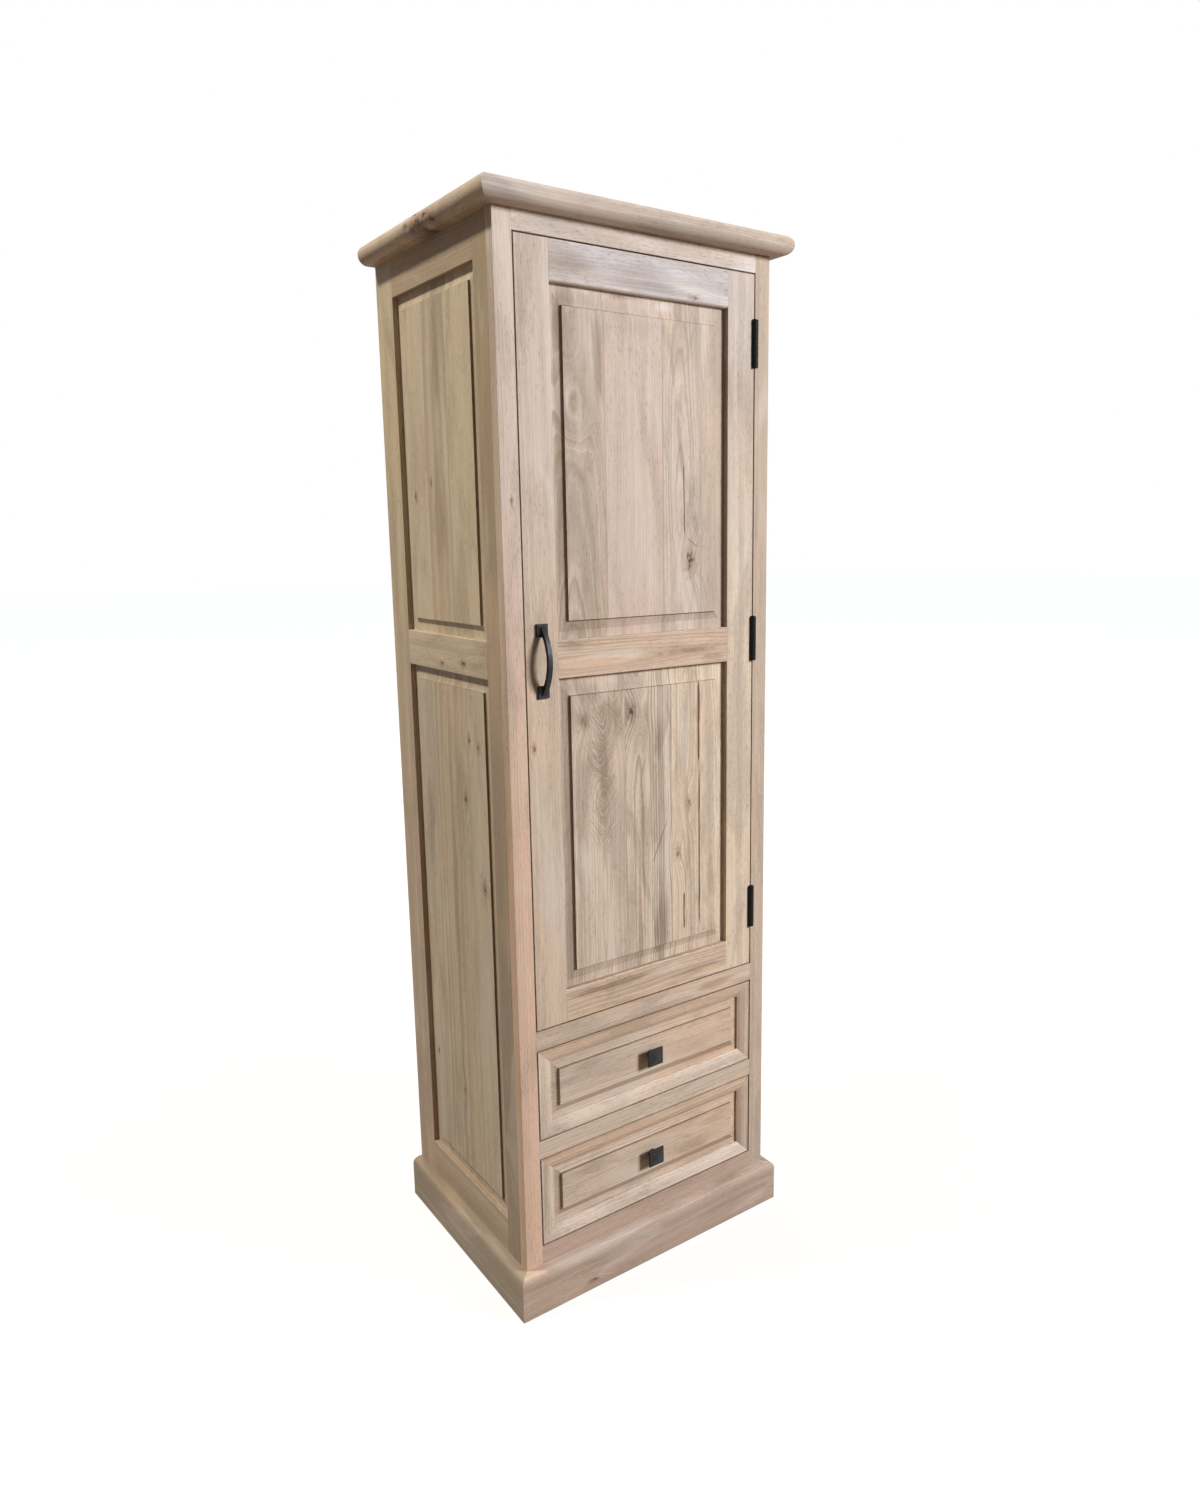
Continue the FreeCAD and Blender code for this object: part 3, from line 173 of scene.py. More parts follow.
# Shader wiring
class Wiring:
    """Adds nodes to a tree. Sources are numbers, tuples or sockets, and results are sockets."""

    def __init__(self, tree):
        self.tree = tree

    def feed(self, socket, source):
        """Sets a socket's value or links a source to it."""
        if isinstance(source, bpy.types.NodeSocket):
            self.tree.links.new(source, socket)
        else:
            socket.default_value = source

    def node(self, kind, sources, **options):
        """The outputs of a node with its options set and its inputs fed."""
        made = self.tree.nodes.new(f"ShaderNode{kind}")
        for name, option in options.items():
            setattr(made, name, option)
        for key, source in sources.items():
            self.feed(made.inputs[key], source)
        return made.outputs

    def math(self, operation, *sources):
        """A number worked out from others."""
        return self.node("Math", dict(enumerate(sources)), operation=operation)[0]

    def times(self, first, *others):
        """A product."""
        for other in others:
            first = self.math("MULTIPLY", first, other)
        return first

    def plus(self, base, source, factor=1.0):
        """A number with a multiple of another added."""
        return self.math("MULTIPLY_ADD", source, factor, base)

    def minus(self, base, source):
        """A difference."""
        return self.math("SUBTRACT", base, source)

    def swing(self, base, noise, reach):
        """A number moved to and fro by noise."""
        return self.plus(base, self.minus(noise, 0.5), reach)

    def vector(self, operation, *places):
        """What comes of places."""
        return self.node("VectorMath", dict(enumerate(places)), operation=operation)

    def scaled(self, place, factors):
        """A place stretched by a factor on each axis."""
        return self.vector("MULTIPLY", place, factors)["Vector"]

    def about(self, place, spot, factors=(1.0, 1.0, 1.0)):
        """A place counted from a spot on the face, stretched by a factor on each axis."""
        moved = self.vector("ADD", place, (-spot.x, -spot.y, 0.0))["Vector"]
        return self.scaled(moved, factors)

    def length(self, place):
        """How far a place lies from the middle."""
        return self.vector("LENGTH", place)["Value"]

    def parts(self, place):
        """The three numbers of a place."""
        return self.node("SeparateXYZ", {"Vector": place})

    def own(self):
        """The shaded point in the object's coordinates."""
        return self.node("TexCoord", {})["Object"]

    def noise(self, place, scale, detail=2.0, roughness=0.5, twist=0.0):
        """Smooth noise with a number of features per metre on each axis."""
        sources = {
            "Vector": self.scaled(place, scale), "Scale": 1.0, "Detail": detail,
            "Roughness": roughness, "Distortion": twist}
        return self.node("TexNoise", sources)["Fac"]

    def noise_along(self, distance, scale, detail):
        """Smooth noise along a line."""
        sources = {"W": self.times(distance, scale), "Scale": 1.0, "Detail": detail}
        return self.node("TexNoise", sources, noise_dimensions="1D")["Fac"]

    def chance(self, seed):
        """A random value and a random colour for a number."""
        made = self.node("TexWhiteNoise", {"W": seed}, noise_dimensions="1D")
        return made["Value"], made["Color"]

    def ramp(self, source, start, end, low=0.0, high=1.0):
        """A soft step from low at start to high at end. Start may lie above end."""
        if start > end:
            start, end, low, high = end, start, high, low
        sources = {
            "Value": source, "From Min": start, "From Max": end, "To Min": low, "To Max": high}
        return self.node("MapRange", sources, interpolation_type="SMOOTHSTEP")["Result"]

    def tint(self, amount, base, over, how="MIX"):
        """One colour laid over another, which may be the name of a colour setting."""
        if isinstance(over, str):
            over = hue(over)
        sources = {0: amount, 6: base, 7: over}
        return self.node("Mix", sources, data_type="RGBA", blend_type=how)[2]

    def cover(self, surface, tone, roughness, height, strength, depth):
        """Feeds a surface its colour, roughness and relief."""
        relief = self.node("Bump", {"Strength": strength, "Distance": depth, "Height": height})
        self.feed(surface.inputs["Base Color"], tone)
        self.feed(surface.inputs["Roughness"], roughness)
        self.feed(surface.inputs["Normal"], relief["Normal"])


def new_material(name, specular):
    """A new material, its surface and the wiring of its tree."""
    material = bpy.data.materials.new(name)
    material.use_nodes = True
    surface = material.node_tree.nodes["Principled BSDF"]
    surface.inputs["Specular IOR Level"].default_value = specular
    return material, surface, Wiring(material.node_tree)


# Timber

# A plank has a tone, a strength of its rings and of its grey zones, and perhaps a heart and a
# low tone. The heart is where the middle of the tree breaks the face, in shares across and up
# the face, and how fast it sinks behind the face. Without one the grain runs fairly straight.
# The tone changes to the low tone, if there is one, towards the plank's low or left end.
Plank = namedtuple("Plank", "tone figure grey heart low_tone", defaults=(None, None))
Look = namedtuple("Look", "planks joints knots clouds cracks feathers")

# Sockets of the timber group
TIMBER_INPUTS = {
    "Vector": ("Board",), "Color": ("Tone",),
    "Float": ("Seed", "Warp", "Figure", "Grey", "Heart Across", "Heart Along", "Heart Slope")}
TIMBER_OUTPUTS = {"Color": ("Color",), "Float": ("Roughness", "Height")}

# Noise in timber: features per metre across, along and out, then detail, roughness and twist
FIELDS = {
    "meander": ((5.0, 1.8, 5.0),),
    "sway": ((16.0, 3.2, 16.0),),
    "wobble": ((60.0, 14.0, 60.0), 3.0),
    "fading": ((14.0, 3.0, 14.0),),
    "blotch": ((15.0, 3.2, 15.0), 4.0, 0.5, 0.9),
    "smoke": ((26.0, 5.0, 26.0), 5.0, 0.5, 1.8),
    "gold": ((7.0, 2.6, 9.0), 2.0, 0.5, 0.5),
    "lines": ((240.0, 9.0, 240.0), 3.0, 0.7),
    "warmth": ((8.0, 2.0, 8.0), 1.0),
    "streak": ((110.0, 7.0, 110.0), 3.0, 0.6),
    "fibre": ((620.0, 45.0, 620.0),),
    "ripple": ((120.0, 60.0, 120.0), 5.0, 0.75),
    "specks": ((420.0, 85.0, 420.0), 3.0, 0.65),
}

# Knots, in their own size: how far and how much they bend the rings, and how ragged they are
KNOT_REACH = 1.9
KNOT_BEND = 1.7
KNOT_RAGGED = 1.6

# Other marks: how ragged clouds are, how steeply barbs fall and how sharply they fold, how far
# cracks wander, where a seam starts and is full, how dark seams are, and how strong the
# painted shade on marked faces is
CLOUD_RAGGED = 1.6
BARB_SLOPE = -1.7
BARB_FOLD = 0.00001
CRACK_SWAY = 0.0022
SEAM = (0.0013, 0.0003)
SEAM_STRENGTH = 0.5
PAINTED_SHADE_STRENGTH = 0.85

# Timber's gloss, the strength and depth of its relief, how far seeds shift its noise, and the
# step from one plank's seed to the next
TIMBER_GLOSS = 0.22
TIMBER_RELIEF = (0.5, 0.0004)
SEED_SHIFT = (9.0, 9.0, 9.0)
PLANK_SEED = 31.0


def look(*planks, joints=(), knots=(), clouds=(), cracks=(), feathers=()):
    """How a board is made up.

    Joints are shares of the board's width where its planks meet. Knots are (share across,
    share up, size, darkness), clouds (share across, share up, half width, half height,
    strength), cracks (one end, other end, width) and feathers (share across, share up, half
    width, half height, strength). A cloud of negative strength is a pale one, and a knot of
    no darkness only bends the rings. Shares of a front count from its left and bottom, those
    of a side from its front and bottom.
    """
    return Look(planks, joints, knots, clouds, cracks, feathers)


def timber_group():
    """Growth rings round a wandering pith, with flowing lines, pores and lime wash.

    Board space has X across the board, Y along its grain and Z out of its face, in metres.
    """
    if "Timber" in bpy.data.node_groups:
        return bpy.data.node_groups["Timber"]
    tree = bpy.data.node_groups.new("Timber", "ShaderNodeTree")
    for end, sockets in (("INPUT", TIMBER_INPUTS), ("OUTPUT", TIMBER_OUTPUTS)):
        for kind, names in sockets.items():
            for name in names:
                tree.interface.new_socket(
                    name=name, in_out=end, socket_type=f"NodeSocket{kind}")
    wire = Wiring(tree)
    given = tree.nodes.new("NodeGroupInput").outputs
    result = tree.nodes.new("NodeGroupOutput").inputs
    figure = given["Figure"]

    _, shift = wire.chance(given["Seed"])
    place = wire.vector("ADD", given["Board"], wire.scaled(shift, SEED_SHIFT))["Vector"]
    field = {name: wire.noise(place, *values) for name, values in FIELDS.items()}

    # Rings round a pith that lies behind the face, tilted and wandering
    across, along, out = wire.parts(given["Board"])
    depth = wire.plus(out, wire.minus(along, given["Heart Along"]), given["Heart Slope"])
    depth = wire.swing(depth, field["meander"], 0.025)
    sideways = wire.minus(across, given["Heart Across"])
    radius = wire.math("SQRT", wire.plus(wire.times(sideways, sideways), depth, depth))
    radius = wire.plus(radius, field["sway"], 0.018)
    radius = wire.plus(radius, field["wobble"], 0.0036)
    phase = wire.math("DIVIDE", wire.plus(radius, given["Warp"]), settings()[0].ring_pitch)
    ring = wire.math("FRACT", phase)
    ring_value, _ = wire.chance(wire.plus(wire.math("FLOOR", phase), given["Seed"]))
    late = wire.times(
        wire.ramp(ring, 0.35, 0.9), wire.ramp(ring, 1.0, 0.92), wire.plus(0.2, ring_value, 0.8),
        wire.ramp(field["fading"], 0.32, 0.62, 0.25, 1.0))

    # Lines that flow with the rings, from broad zones to hairlines
    flow = wire.plus(phase, given["Seed"])
    zones = wire.noise_along(flow, 0.22, 2.0)
    threads = wire.noise_along(flow, 1.5, 3.0)
    threading = wire.times(figure, 0.6)

    # Stains, wash and pores laid over the tone one after another
    pores = wire.times(
        wire.ramp(field["specks"], 0.53, 0.68), wire.ramp(field["blotch"], 0.34, 0.58, 0.2, 1.0))
    smoking = wire.ramp(figure, 0.1, 0.7, 0.08, 0.5)
    lining = wire.ramp(figure, 0.1, 0.6, 0.12, 0.36)
    tone = given["Tone"]
    for amount, over in (
        (wire.ramp(field["warmth"], 0.35, 0.7, 0.0, 0.17), "rosy"),
        (wire.times(wire.ramp(zones, 0.44, 0.66), given["Grey"]), "stain"),
        (wire.ramp(zones, 0.42, 0.24, 0.0, 0.4), "wash"),
        (wire.ramp(field["gold"], 0.5, 0.72, 0.0, 0.4), "honey"),
        (wire.ramp(field["blotch"], 0.48, 0.68, 0.0, 0.46), "stain"),
        (wire.ramp(field["blotch"], 0.44, 0.3, 0.0, 0.36), "wash"),
        (wire.times(wire.ramp(field["smoke"], 0.5, 0.7), smoking), "late"),
        (wire.times(wire.ramp(field["lines"], 0.58, 0.74), lining), "late"),
        (wire.times(late, figure), "late"),
        (wire.times(wire.ramp(threads, 0.5, 0.8), threading), "late"),
        (wire.times(wire.ramp(threads, 0.48, 0.22), threading), "wash"),
        (wire.ramp(field["streak"], 0.5, 0.75, 0.0, 0.16), "late"),
        (wire.times(pores, 0.5), "late"),
    ):
        tone = wire.tint(amount, tone, over)
    shade = wire.swing(wire.swing(1.0, field["fibre"], 0.2), field["ripple"], 0.16)
    shading = wire.node("CombineColor", {"Red": shade, "Green": shade, "Blue": shade})[0]
    wire.feed(result["Color"], wire.tint(1.0, tone, shading, "MULTIPLY"))

    rough = wire.plus(0.48, field["blotch"], 0.2)
    wire.feed(result["Roughness"], wire.plus(rough, pores, 0.12))
    height = wire.plus(wire.plus(0.6, field["fibre"], 0.3), pores, -0.5)
    wire.feed(result["Height"], wire.plus(height, late, -0.25))
    return tree


class Board:
    """A board's box and its own directions, for placing marks on it and shading it."""

    def __init__(self, low, high):
        self.low = low
        self.high = high
        self.middle = (low + high) / 2
        thin, _, long = sorted(range(3), key=lambda axis: high[axis] - low[axis])
        out = Vector((0.0, 0.0, 0.0))
        out[thin] = -1.0 if thin < 2 and self.middle[thin] < 0.0 else 1.0
        along = Vector((0.0, 0.0, 0.0))
        along[long] = 1.0
        self.axes = Matrix((along.cross(out), along, out))

    def spot(self, share_across, share_up):
        """Where shares across and up the seen face lie in board space."""
        out = self.axes[2]
        level_axis = 1 if abs(out.x) > 0.5 else 0
        upward_axis = 1 if abs(out.z) > 0.5 else 2
        point = self.middle.copy()
        for axis, part in ((level_axis, share_across), (upward_axis, share_up)):
            point[axis] = self.low[axis] + part * (self.high[axis] - self.low[axis])
        return self.axes @ (point - self.middle)

    def place(self, wire):
        """The shaded point in board space."""
        sources = {
            "Vector": wire.own(), "Location": self.axes @ -self.middle,
            "Rotation": self.axes.to_euler()}
        return wire.node("Mapping", sources)["Vector"]

    def heart(self, given, chooser):
        """Where the heart crosses the face in board space, and its slope."""
        if given:
            return (*self.spot(given[0], given[1]).xy, given[2])
        side = chooser.choice((-1.0, 1.0))
        return (
            side * chooser.uniform(0.03, 0.14), chooser.uniform(-0.5, 0.5),
            chooser.uniform(0.02, 0.06))


def stepped(wire, steps, values):
    """A number that changes from plank to plank."""
    result = values[0]
    for step, before, after in zip(steps, values, values[1:]):
        result = wire.plus(result, step, after - before)
    return result


def knot_marks(wire, board, place, knots):
    """How far knots bend the rings, and masks of their brown ring and dark middle."""
    warp, brown, dark = 0.0, 0.0, 0.0
    ragged = wire.noise(place, (210.0, 120.0, 0.0), 3.0)
    for across, up, size, darkness in knots:
        distance = wire.length(wire.about(place, board.spot(across, up), (1.0, 0.5, 0.0)))
        reach = wire.math("DIVIDE", distance, size * KNOT_REACH)
        swell = wire.math("EXPONENT", wire.times(reach, reach, -1.0))
        warp = wire.plus(warp, swell, size * KNOT_BEND)
        if darkness:
            edge = wire.swing(distance, ragged, size * KNOT_RAGGED)
            ring = wire.ramp(edge, size * 1.3, size * 0.1, 0.0, 0.75 * darkness)
            brown = wire.math("MAXIMUM", brown, ring)
            core = wire.ramp(edge, size * 0.4, size * 0.05, 0.0, darkness)
            dark = wire.math("MAXIMUM", dark, core)
    return warp, brown, dark


def cloud_mask(wire, board, place, clouds):
    """Soft patches with feathered edges."""
    mask = 0.0
    feather = wire.noise(place, (70.0, 16.0, 70.0), 4.0)
    is_upright = abs(board.axes[1].z) > 0.5
    for across, up, wide, high, strength in clouds:
        size = (wide, high) if is_upright else (high, wide)
        local = wire.about(place, board.spot(across, up), (1.0 / size[0], 1.0 / size[1], 0.0))
        edge = wire.swing(wire.length(local), feather, CLOUD_RAGGED)
        mask = wire.math("MAXIMUM", mask, wire.ramp(edge, 1.15, 0.2, 0.0, strength))
    return mask


def feather_masks(wire, board, place, feather):
    """Dark and pale barbs that rise to both sides of a centre line, as below a fork."""
    across, up, wide, high, strength = feather
    beside, along, _ = wire.parts(wire.about(place, board.spot(across, up)))
    beside = wire.swing(beside, wire.noise_along(along, 14.0, 2.0), wide)
    off = wire.math("SQRT", wire.plus(BARB_FOLD, beside, beside))
    fray = wire.noise(place, (70.0, 40.0, 0.0), 3.0)
    rise = wire.plus(wire.plus(along, off, BARB_SLOPE), fray, 0.03)
    barbs = wire.noise_along(rise, 170.0, 3.0)
    ends = wire.ramp(wire.math("ABSOLUTE", along), high, high * 0.55)
    inside = wire.times(wire.ramp(off, wide, wide * 0.15), ends, strength)
    middle = wire.ramp(off, wide * 0.5, 0.0, 0.0, 0.6)
    dark = wire.times(inside, wire.plus(middle, wire.ramp(barbs, 0.46, 0.66)))
    return dark, wire.times(inside, wire.ramp(barbs, 0.46, 0.3, 0.0, 0.45))


def crack_mask(wire, place, ends, width):
    """A ragged split between two places."""
    low, high = sorted(ends, key=lambda end: end.y)
    across, along, _ = wire.parts(place)
    travel = wire.math("DIVIDE", wire.minus(along, low.y), high.y - low.y)
    ragged = wire.noise_along(along, 22.0, 4.0)
    centre = wire.swing(wire.plus(low.x, travel, high.x - low.x), ragged, CRACK_SWAY)
    off = wire.math("ABSOLUTE", wire.minus(across, centre))
    opening = wire.times(
        wire.ramp(travel, 0.0, 0.12), wire.ramp(travel, 1.0, 0.85),
        wire.plus(width / 2, ragged, width))
    return wire.ramp(wire.minus(opening, off), 0.0, width / 3)


def plank_tone(wire, board, place, each):
    """The tone of a plank, with its change towards the low or left end."""
    if not each.low_tone:
        return hue(each.tone)
    ends = [(board.axes @ (corner - board.middle)).y for corner in (board.low, board.high)]
    travel = wire.ramp(wire.parts(place)[1], min(ends) * 0.2, max(ends) * 0.75)
    return wire.tint(travel, hue(each.low_tone), each.tone)


def face_mark(wire, name):
    """The value that the shape's faces carry under a name."""
    return wire.node("Attribute", {}, attribute_type="GEOMETRY", attribute_name=name)["Fac"]


def timber(name, board, board_look, seed):
    """The material of one board."""
    material, surface, wire = new_material(name, TIMBER_GLOSS)
    chooser = random.Random(seed)
    place = board.place(wire)
    across = wire.parts(place)[0]

    # Planks, counted in board space from its left
    planks = list(board_look.planks)
    cuts = [board.spot(joint, 0.5).x for joint in board_look.joints]
    if board.spot(0.0, 0.5).x > board.spot(1.0, 0.5).x:
        planks.reverse()
        cuts.reverse()
    planks = [planks[index % len(planks)] for index in range(len(cuts) + 1)]
    steps = [wire.math("GREATER_THAN", across, cut) for cut in cuts]
    hearts = [board.heart(each.heart, chooser) for each in planks]
    tone = plank_tone(wire, board, place, planks[0])
    seams = 0.0
    for step, cut, each in zip(steps, cuts, planks[1:]):
        tone = wire.tint(step, tone, plank_tone(wire, board, place, each))
        off = wire.math("ABSOLUTE", wire.minus(across, cut))
        seams = wire.math("MAXIMUM", seams, wire.ramp(off, *SEAM))
    warp, brown, dark = knot_marks(wire, board, place, board_look.knots)
    by_plank = {
        "Seed": [seed + PLANK_SEED * index for index in range(len(planks))],
        "Figure": [each.figure for each in planks],
        "Grey": [each.grey for each in planks],
        **dict(zip(("Heart Across", "Heart Along", "Heart Slope"), zip(*hearts))),
    }
    sources = {key: stepped(wire, steps, values) for key, values in by_plank.items()}
    sources.update({"Board": place, "Warp": warp, "Tone": tone})
    grain = wire.node("Group", sources, node_tree=timber_group())

    # Marks over the grain
    tone = grain["Color"]
    height = grain["Height"]
    for sign, over, how in ((1.0, "stain", "MULTIPLY"), (-1.0, "wash", "MIX")):
        clouds = [
            (*cloud[:4], sign * cloud[4]) for cloud in board_look.clouds if sign * cloud[4] > 0.0]
        if clouds:
            tone = wire.tint(cloud_mask(wire, board, place, clouds), tone, over, how)
    for feather in board_look.feathers:
        barbs, gleams = feather_masks(wire, board, place, feather)
        tone = wire.tint(gleams, wire.tint(barbs, tone, "late"), "wash")
    if cuts:
        tone = wire.tint(wire.times(seams, SEAM_STRENGTH), tone, "late")
    if board_look.knots:
        tone = wire.tint(dark, wire.tint(brown, tone, "russet", "MULTIPLY"), "heart")
    for *ends, width in board_look.cracks:
        split = crack_mask(wire, place, [board.spot(*end) for end in ends], width)
        tone = wire.tint(split, tone, "split")
        height = wire.plus(height, split, -2.0)
    # Marked faces are darkened towards the late wood as painted shade, and rounded edges are
    # lightened with the lime wash, partly as wear and partly as painted highlight
    edge_wear_and_highlight = wire.ramp(wire.noise(wire.own(), (60.0, 60.0, 60.0)), 0.35, 0.65, 0.08, 0.35)
    tone = wire.tint(wire.times(face_mark(wire, "wall"), PAINTED_SHADE_STRENGTH), tone, "late", "MULTIPLY")
    tone = wire.tint(wire.times(face_mark(wire, "arris"), edge_wear_and_highlight), tone, "wash")
    wire.cover(surface, tone, grain["Roughness"], height, *TIMBER_RELIEF)
    return material


# Ironwork and fittings, by slot or kind: material, colour, roughness, gloss, metal and depth of grit
COATINGS = {
    "black_iron": ("satin_black_iron", "iron", 0.42, 0.3, 0.0, 0.0003),
    "hinge_iron": ("rough_black_iron", "iron", 0.6, 0.12, 0.0, 0.0003),
    "plated_steel": ("plated_steel_skin", "steel", 0.38, 0.5, 1.0, 0.0001),
    "catch_body": ("catch_plastic", "plastic", 0.5, 0.4, 0.0, 0.0003),
}


def coated(name, base, roughness, specular, metallic, grit):
    """A hard material with a fine uneven skin."""
    material, surface, wire = new_material(name, specular)
    surface.inputs["Metallic"].default_value = metallic
    cloud = wire.noise(wire.own(), (90.0, 90.0, 90.0), 3.0)
    grain = wire.noise(wire.own(), (1400.0, 1400.0, 1400.0))
    light = tuple(min(1.0, 1.7 * part + 0.004) for part in hue(base))
    tone = wire.tint(wire.ramp(cloud, 0.35, 0.75), hue(base), light)
    rough = wire.ramp(cloud, 0.3, 0.7, roughness - 0.07, roughness + 0.07)
    wire.cover(surface, tone, rough, grain, 0.4, grit)
    return material


def fitting_material(coating):
    """The material of a coating, made once."""
    return bpy.data.materials.get(COATINGS[coating][0]) or coated(*COATINGS[coating])


# Shapes: how near counts as touching, how far behind a face its wood is looked for, the folds
# that tell flat faces, curves, mitres and sharp edges apart, and the number of boards' seeds
TOUCH = 1e-5
SKIN = 0.0005
FLAT_ANGLE = math.radians(0.6)
MITRE_ANGLE = math.radians(6)
CURVE_ANGLE = math.radians(12)
CAST_ANGLE = math.radians(30)
SHARP_ANGLE = math.radians(40)
RIM_ANGLE = math.radians(50)
SEED_RANGE = 499

# How far the round of the plinth's ledge is squared and how high it rises
LEDGE_POWER = 3.0
LEDGE_RISE = 0.8

# Faces that lean, by how far they point out of a panel and to a side
LEANING = (0.5, 0.995)
LEAN = 0.05

# How dark the painted shade on marked faces is
LEFT_BEVEL_SHADE = 0.3
LOW_BEVEL_SHADE = 0.3
DRAWER_BEVEL_SHADE = 0.6
PANEL_EDGE_SHADE = 0.3
FIELD_ARRIS_SHADE = 0.3
SOFT_ARRIS_SHADE = 0.25
OPENING_SHADE = 0.32
SILL_SHADE = 0.12
GAP_SHADE = 0.75
GAP_ARRIS_SHADE = 0.45

# How far rounded edges are lightened, partly as wear and partly as painted highlight. Faces that
# point up get a stronger mark: a stronger painted highlight on edges, stronger painted shade where
# the mark is painted shade. The plinth's rim and the mouldings' corners get less
TOP_PAINTED_LIGHT_GAIN = 2.8
RIM_WEAR_AND_HIGHLIGHT = 0.2
CORNER_WEAR_AND_HIGHLIGHT = 0.4

# The case: the width of the gaps, its front right corner, the top of the drawers, and the
# corners of the door and the drawers' fronts
GAP = 0.0026
OUTER = Vector((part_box("face_right_stile")[1].x, -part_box("face_right_stile")[0].y, 0.0))
DRAWERS_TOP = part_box("face_middle_rail")[0].z
LEAVES = (
    (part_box("door_left_stile")[0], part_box("door_right_stile")[1]),
    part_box("upper_drawer_front_frame"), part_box("lower_drawer_front_frame"),
)


def cleaned(bm):
    """Merges doubles and joins flat faces."""
    bmesh.ops.remove_doubles(bm, verts=bm.verts, dist=TOUCH)
    bmesh.ops.dissolve_limit(bm, angle_limit=FLAT_ANGLE, verts=bm.verts, edges=bm.edges)
    return bm


def own_shape(node):
    """The node's own shape."""
    bm = bmesh.new()
    bm.from_mesh(frame["nodes"][node].data)
    return bm


def nearest_side(face, low, high):
    """Which outer side of a frame the wood just behind a face is nearest to."""
    point = face.calc_center_median() - face.normal * SKIN
    gaps = (point.x - low.x, high.x - point.x, point.z - low.z, high.z - point.z)
    return gaps.index(min(gaps))


def mitred_members(node):
    """The left, right, bottom and top members of a frame, which touch at their mitres."""
    low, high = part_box(node)
    made = []
    for side in range(4):
        bm = own_shape(node)
        others = [face for face in bm.faces if nearest_side(face, low, high) != side]
        bmesh.ops.delete(bm, geom=others, context="FACES")
        made.append(cleaned(bm))
    return made


def solids(node):
    """The separate solids of a node, ordered from the left, the front and the floor."""
    bm = cleaned(own_shape(node))
    bm.verts.index_update()
    left = set(bm.verts)
    made = []
    while left:
        island = set()
        waiting = [next(iter(left))]
        while waiting:
            vert = waiting.pop()
            if vert not in island:
                island.add(vert)
                waiting.extend(edge.other_vert(vert) for edge in vert.link_edges)
        left -= island
        kept = {vert.index for vert in island}
        part = bm.copy()
        others = [vert for vert in part.verts if vert.index not in kept]
        bmesh.ops.delete(part, geom=others, context="VERTS")
        made.append(part)
    bm.free()
    return sorted(made, key=lambda part: tuple(round(c, 4) for c in extents(part)[0]))


def extents(bm):
    """The lowest and highest corners of a shape."""
    corners = [[vert.co[axis] for vert in bm.verts] for axis in range(3)]
    return Vector([min(c) for c in corners]), Vector([max(c) for c in corners])


def fold(edge):
    """The angle between an edge's two faces, positive where the edge stands out."""
    return edge.calc_face_angle_signed(0.0) if edge.is_manifold else 0.0


def along_whole(edge, test):
    """Whether both ends of an edge pass a test."""
    return all(test(vert.co) for vert in edge.verts)


def proud_edges(bm, angle, test=lambda edge: True):
    """The edges that stand out by more than an angle and pass a test."""
    return [edge for edge in bm.edges if fold(edge) > angle and test(edge)]


def outer_edges(bm):
    """The sharp edges that run along the outer corners of the shape's box."""
    bounds = extents(bm)

    def is_outer(edge):
        middle = (edge.verts[0].co + edge.verts[1].co) / 2
        planes = [abs(middle[axis] - bound[axis]) < TOUCH for axis in range(3) for bound in bounds]
        return sum(planes) >= 2

    return proud_edges(bm, SHARP_ANGLE, is_outer)


def field_edges(bm, out):
    """The edges of a raised field: those that lie in the plane furthest out."""
    reach = max(vert.co.dot(out) for vert in bm.verts)
    return proud_edges(
        bm, SHARP_ANGLE,
        lambda edge: along_whole(edge, lambda point: abs(point.dot(out) - reach) < TOUCH))


def level_edges(edges, axis, pick):
    """Those of some edges that lie furthest down or up an axis all along."""
    reach = pick(vert.co[axis] for edge in edges for vert in edge.verts)
    return [
        edge for edge in edges
        if along_whole(edge, lambda point: abs(point[axis] - reach) < TOUCH)
    ]


def lower_rim(bm):
    """The outer edges of a run at the floor and at its rear ends."""
    low, high = extents(bm)
    tests = (lambda point: point.z - low.z < TOUCH, lambda point: high.y - point.y < TOUCH)

    def is_rim(edge):
        is_outside = along_whole(
            edge, lambda point: high.x - abs(point.x) < TOUCH or point.y - low.y < TOUCH)
        return is_outside and any(along_whole(edge, test) for test in tests)

    return proud_edges(bm, SHARP_ANGLE, is_rim)


def shade(bm):
    """Makes faces smooth and keeps the edges sharp that aren't part of a curve."""
    for face in bm.faces:
        face.smooth = True
    for edge in bm.edges:
        edge.smooth = abs(fold(edge)) < CURVE_ANGLE


def layer(bm, name):
    """A named number that each face carries."""
    return bm.faces.layers.float.get(name) or bm.faces.layers.float.new(name)


def ease(bm, edges, width, segments=3, mark_name="arris", mark_value=1.0):
    """Rounds edges, and marks the rounded faces."""
    mark = layer(bm, mark_name)
    wall = layer(bm, "wall")
    result = bmesh.ops.bevel(
        bm, geom=edges, offset=width, offset_type="OFFSET", segments=segments, profile=0.5,
        affect="EDGES", clamp_overlap=True, loop_slide=True, material=-1)
    for face in result["faces"]:
        # Faces that point up get a stronger mark, which is painted highlight or painted shade; faces
        # by a gap lose it and get painted shade instead
        face[mark] = mark_value * (TOP_PAINTED_LIGHT_GAIN if face.normal.z > 0.5 else 1.0)
        if is_by_gap(face.calc_center_median()):
            face[mark] = 0.0
            face[wall] = GAP_ARRIS_SHADE
        face.smooth = True
        for edge in face.edges:
            if abs(fold(edge)) < SHARP_ANGLE:
                edge.smooth = True


def placed(name, content):
    """A new object in the scene."""
    made = bpy.data.objects.new(name, content)
    bpy.context.scene.collection.objects.link(made)
    return made


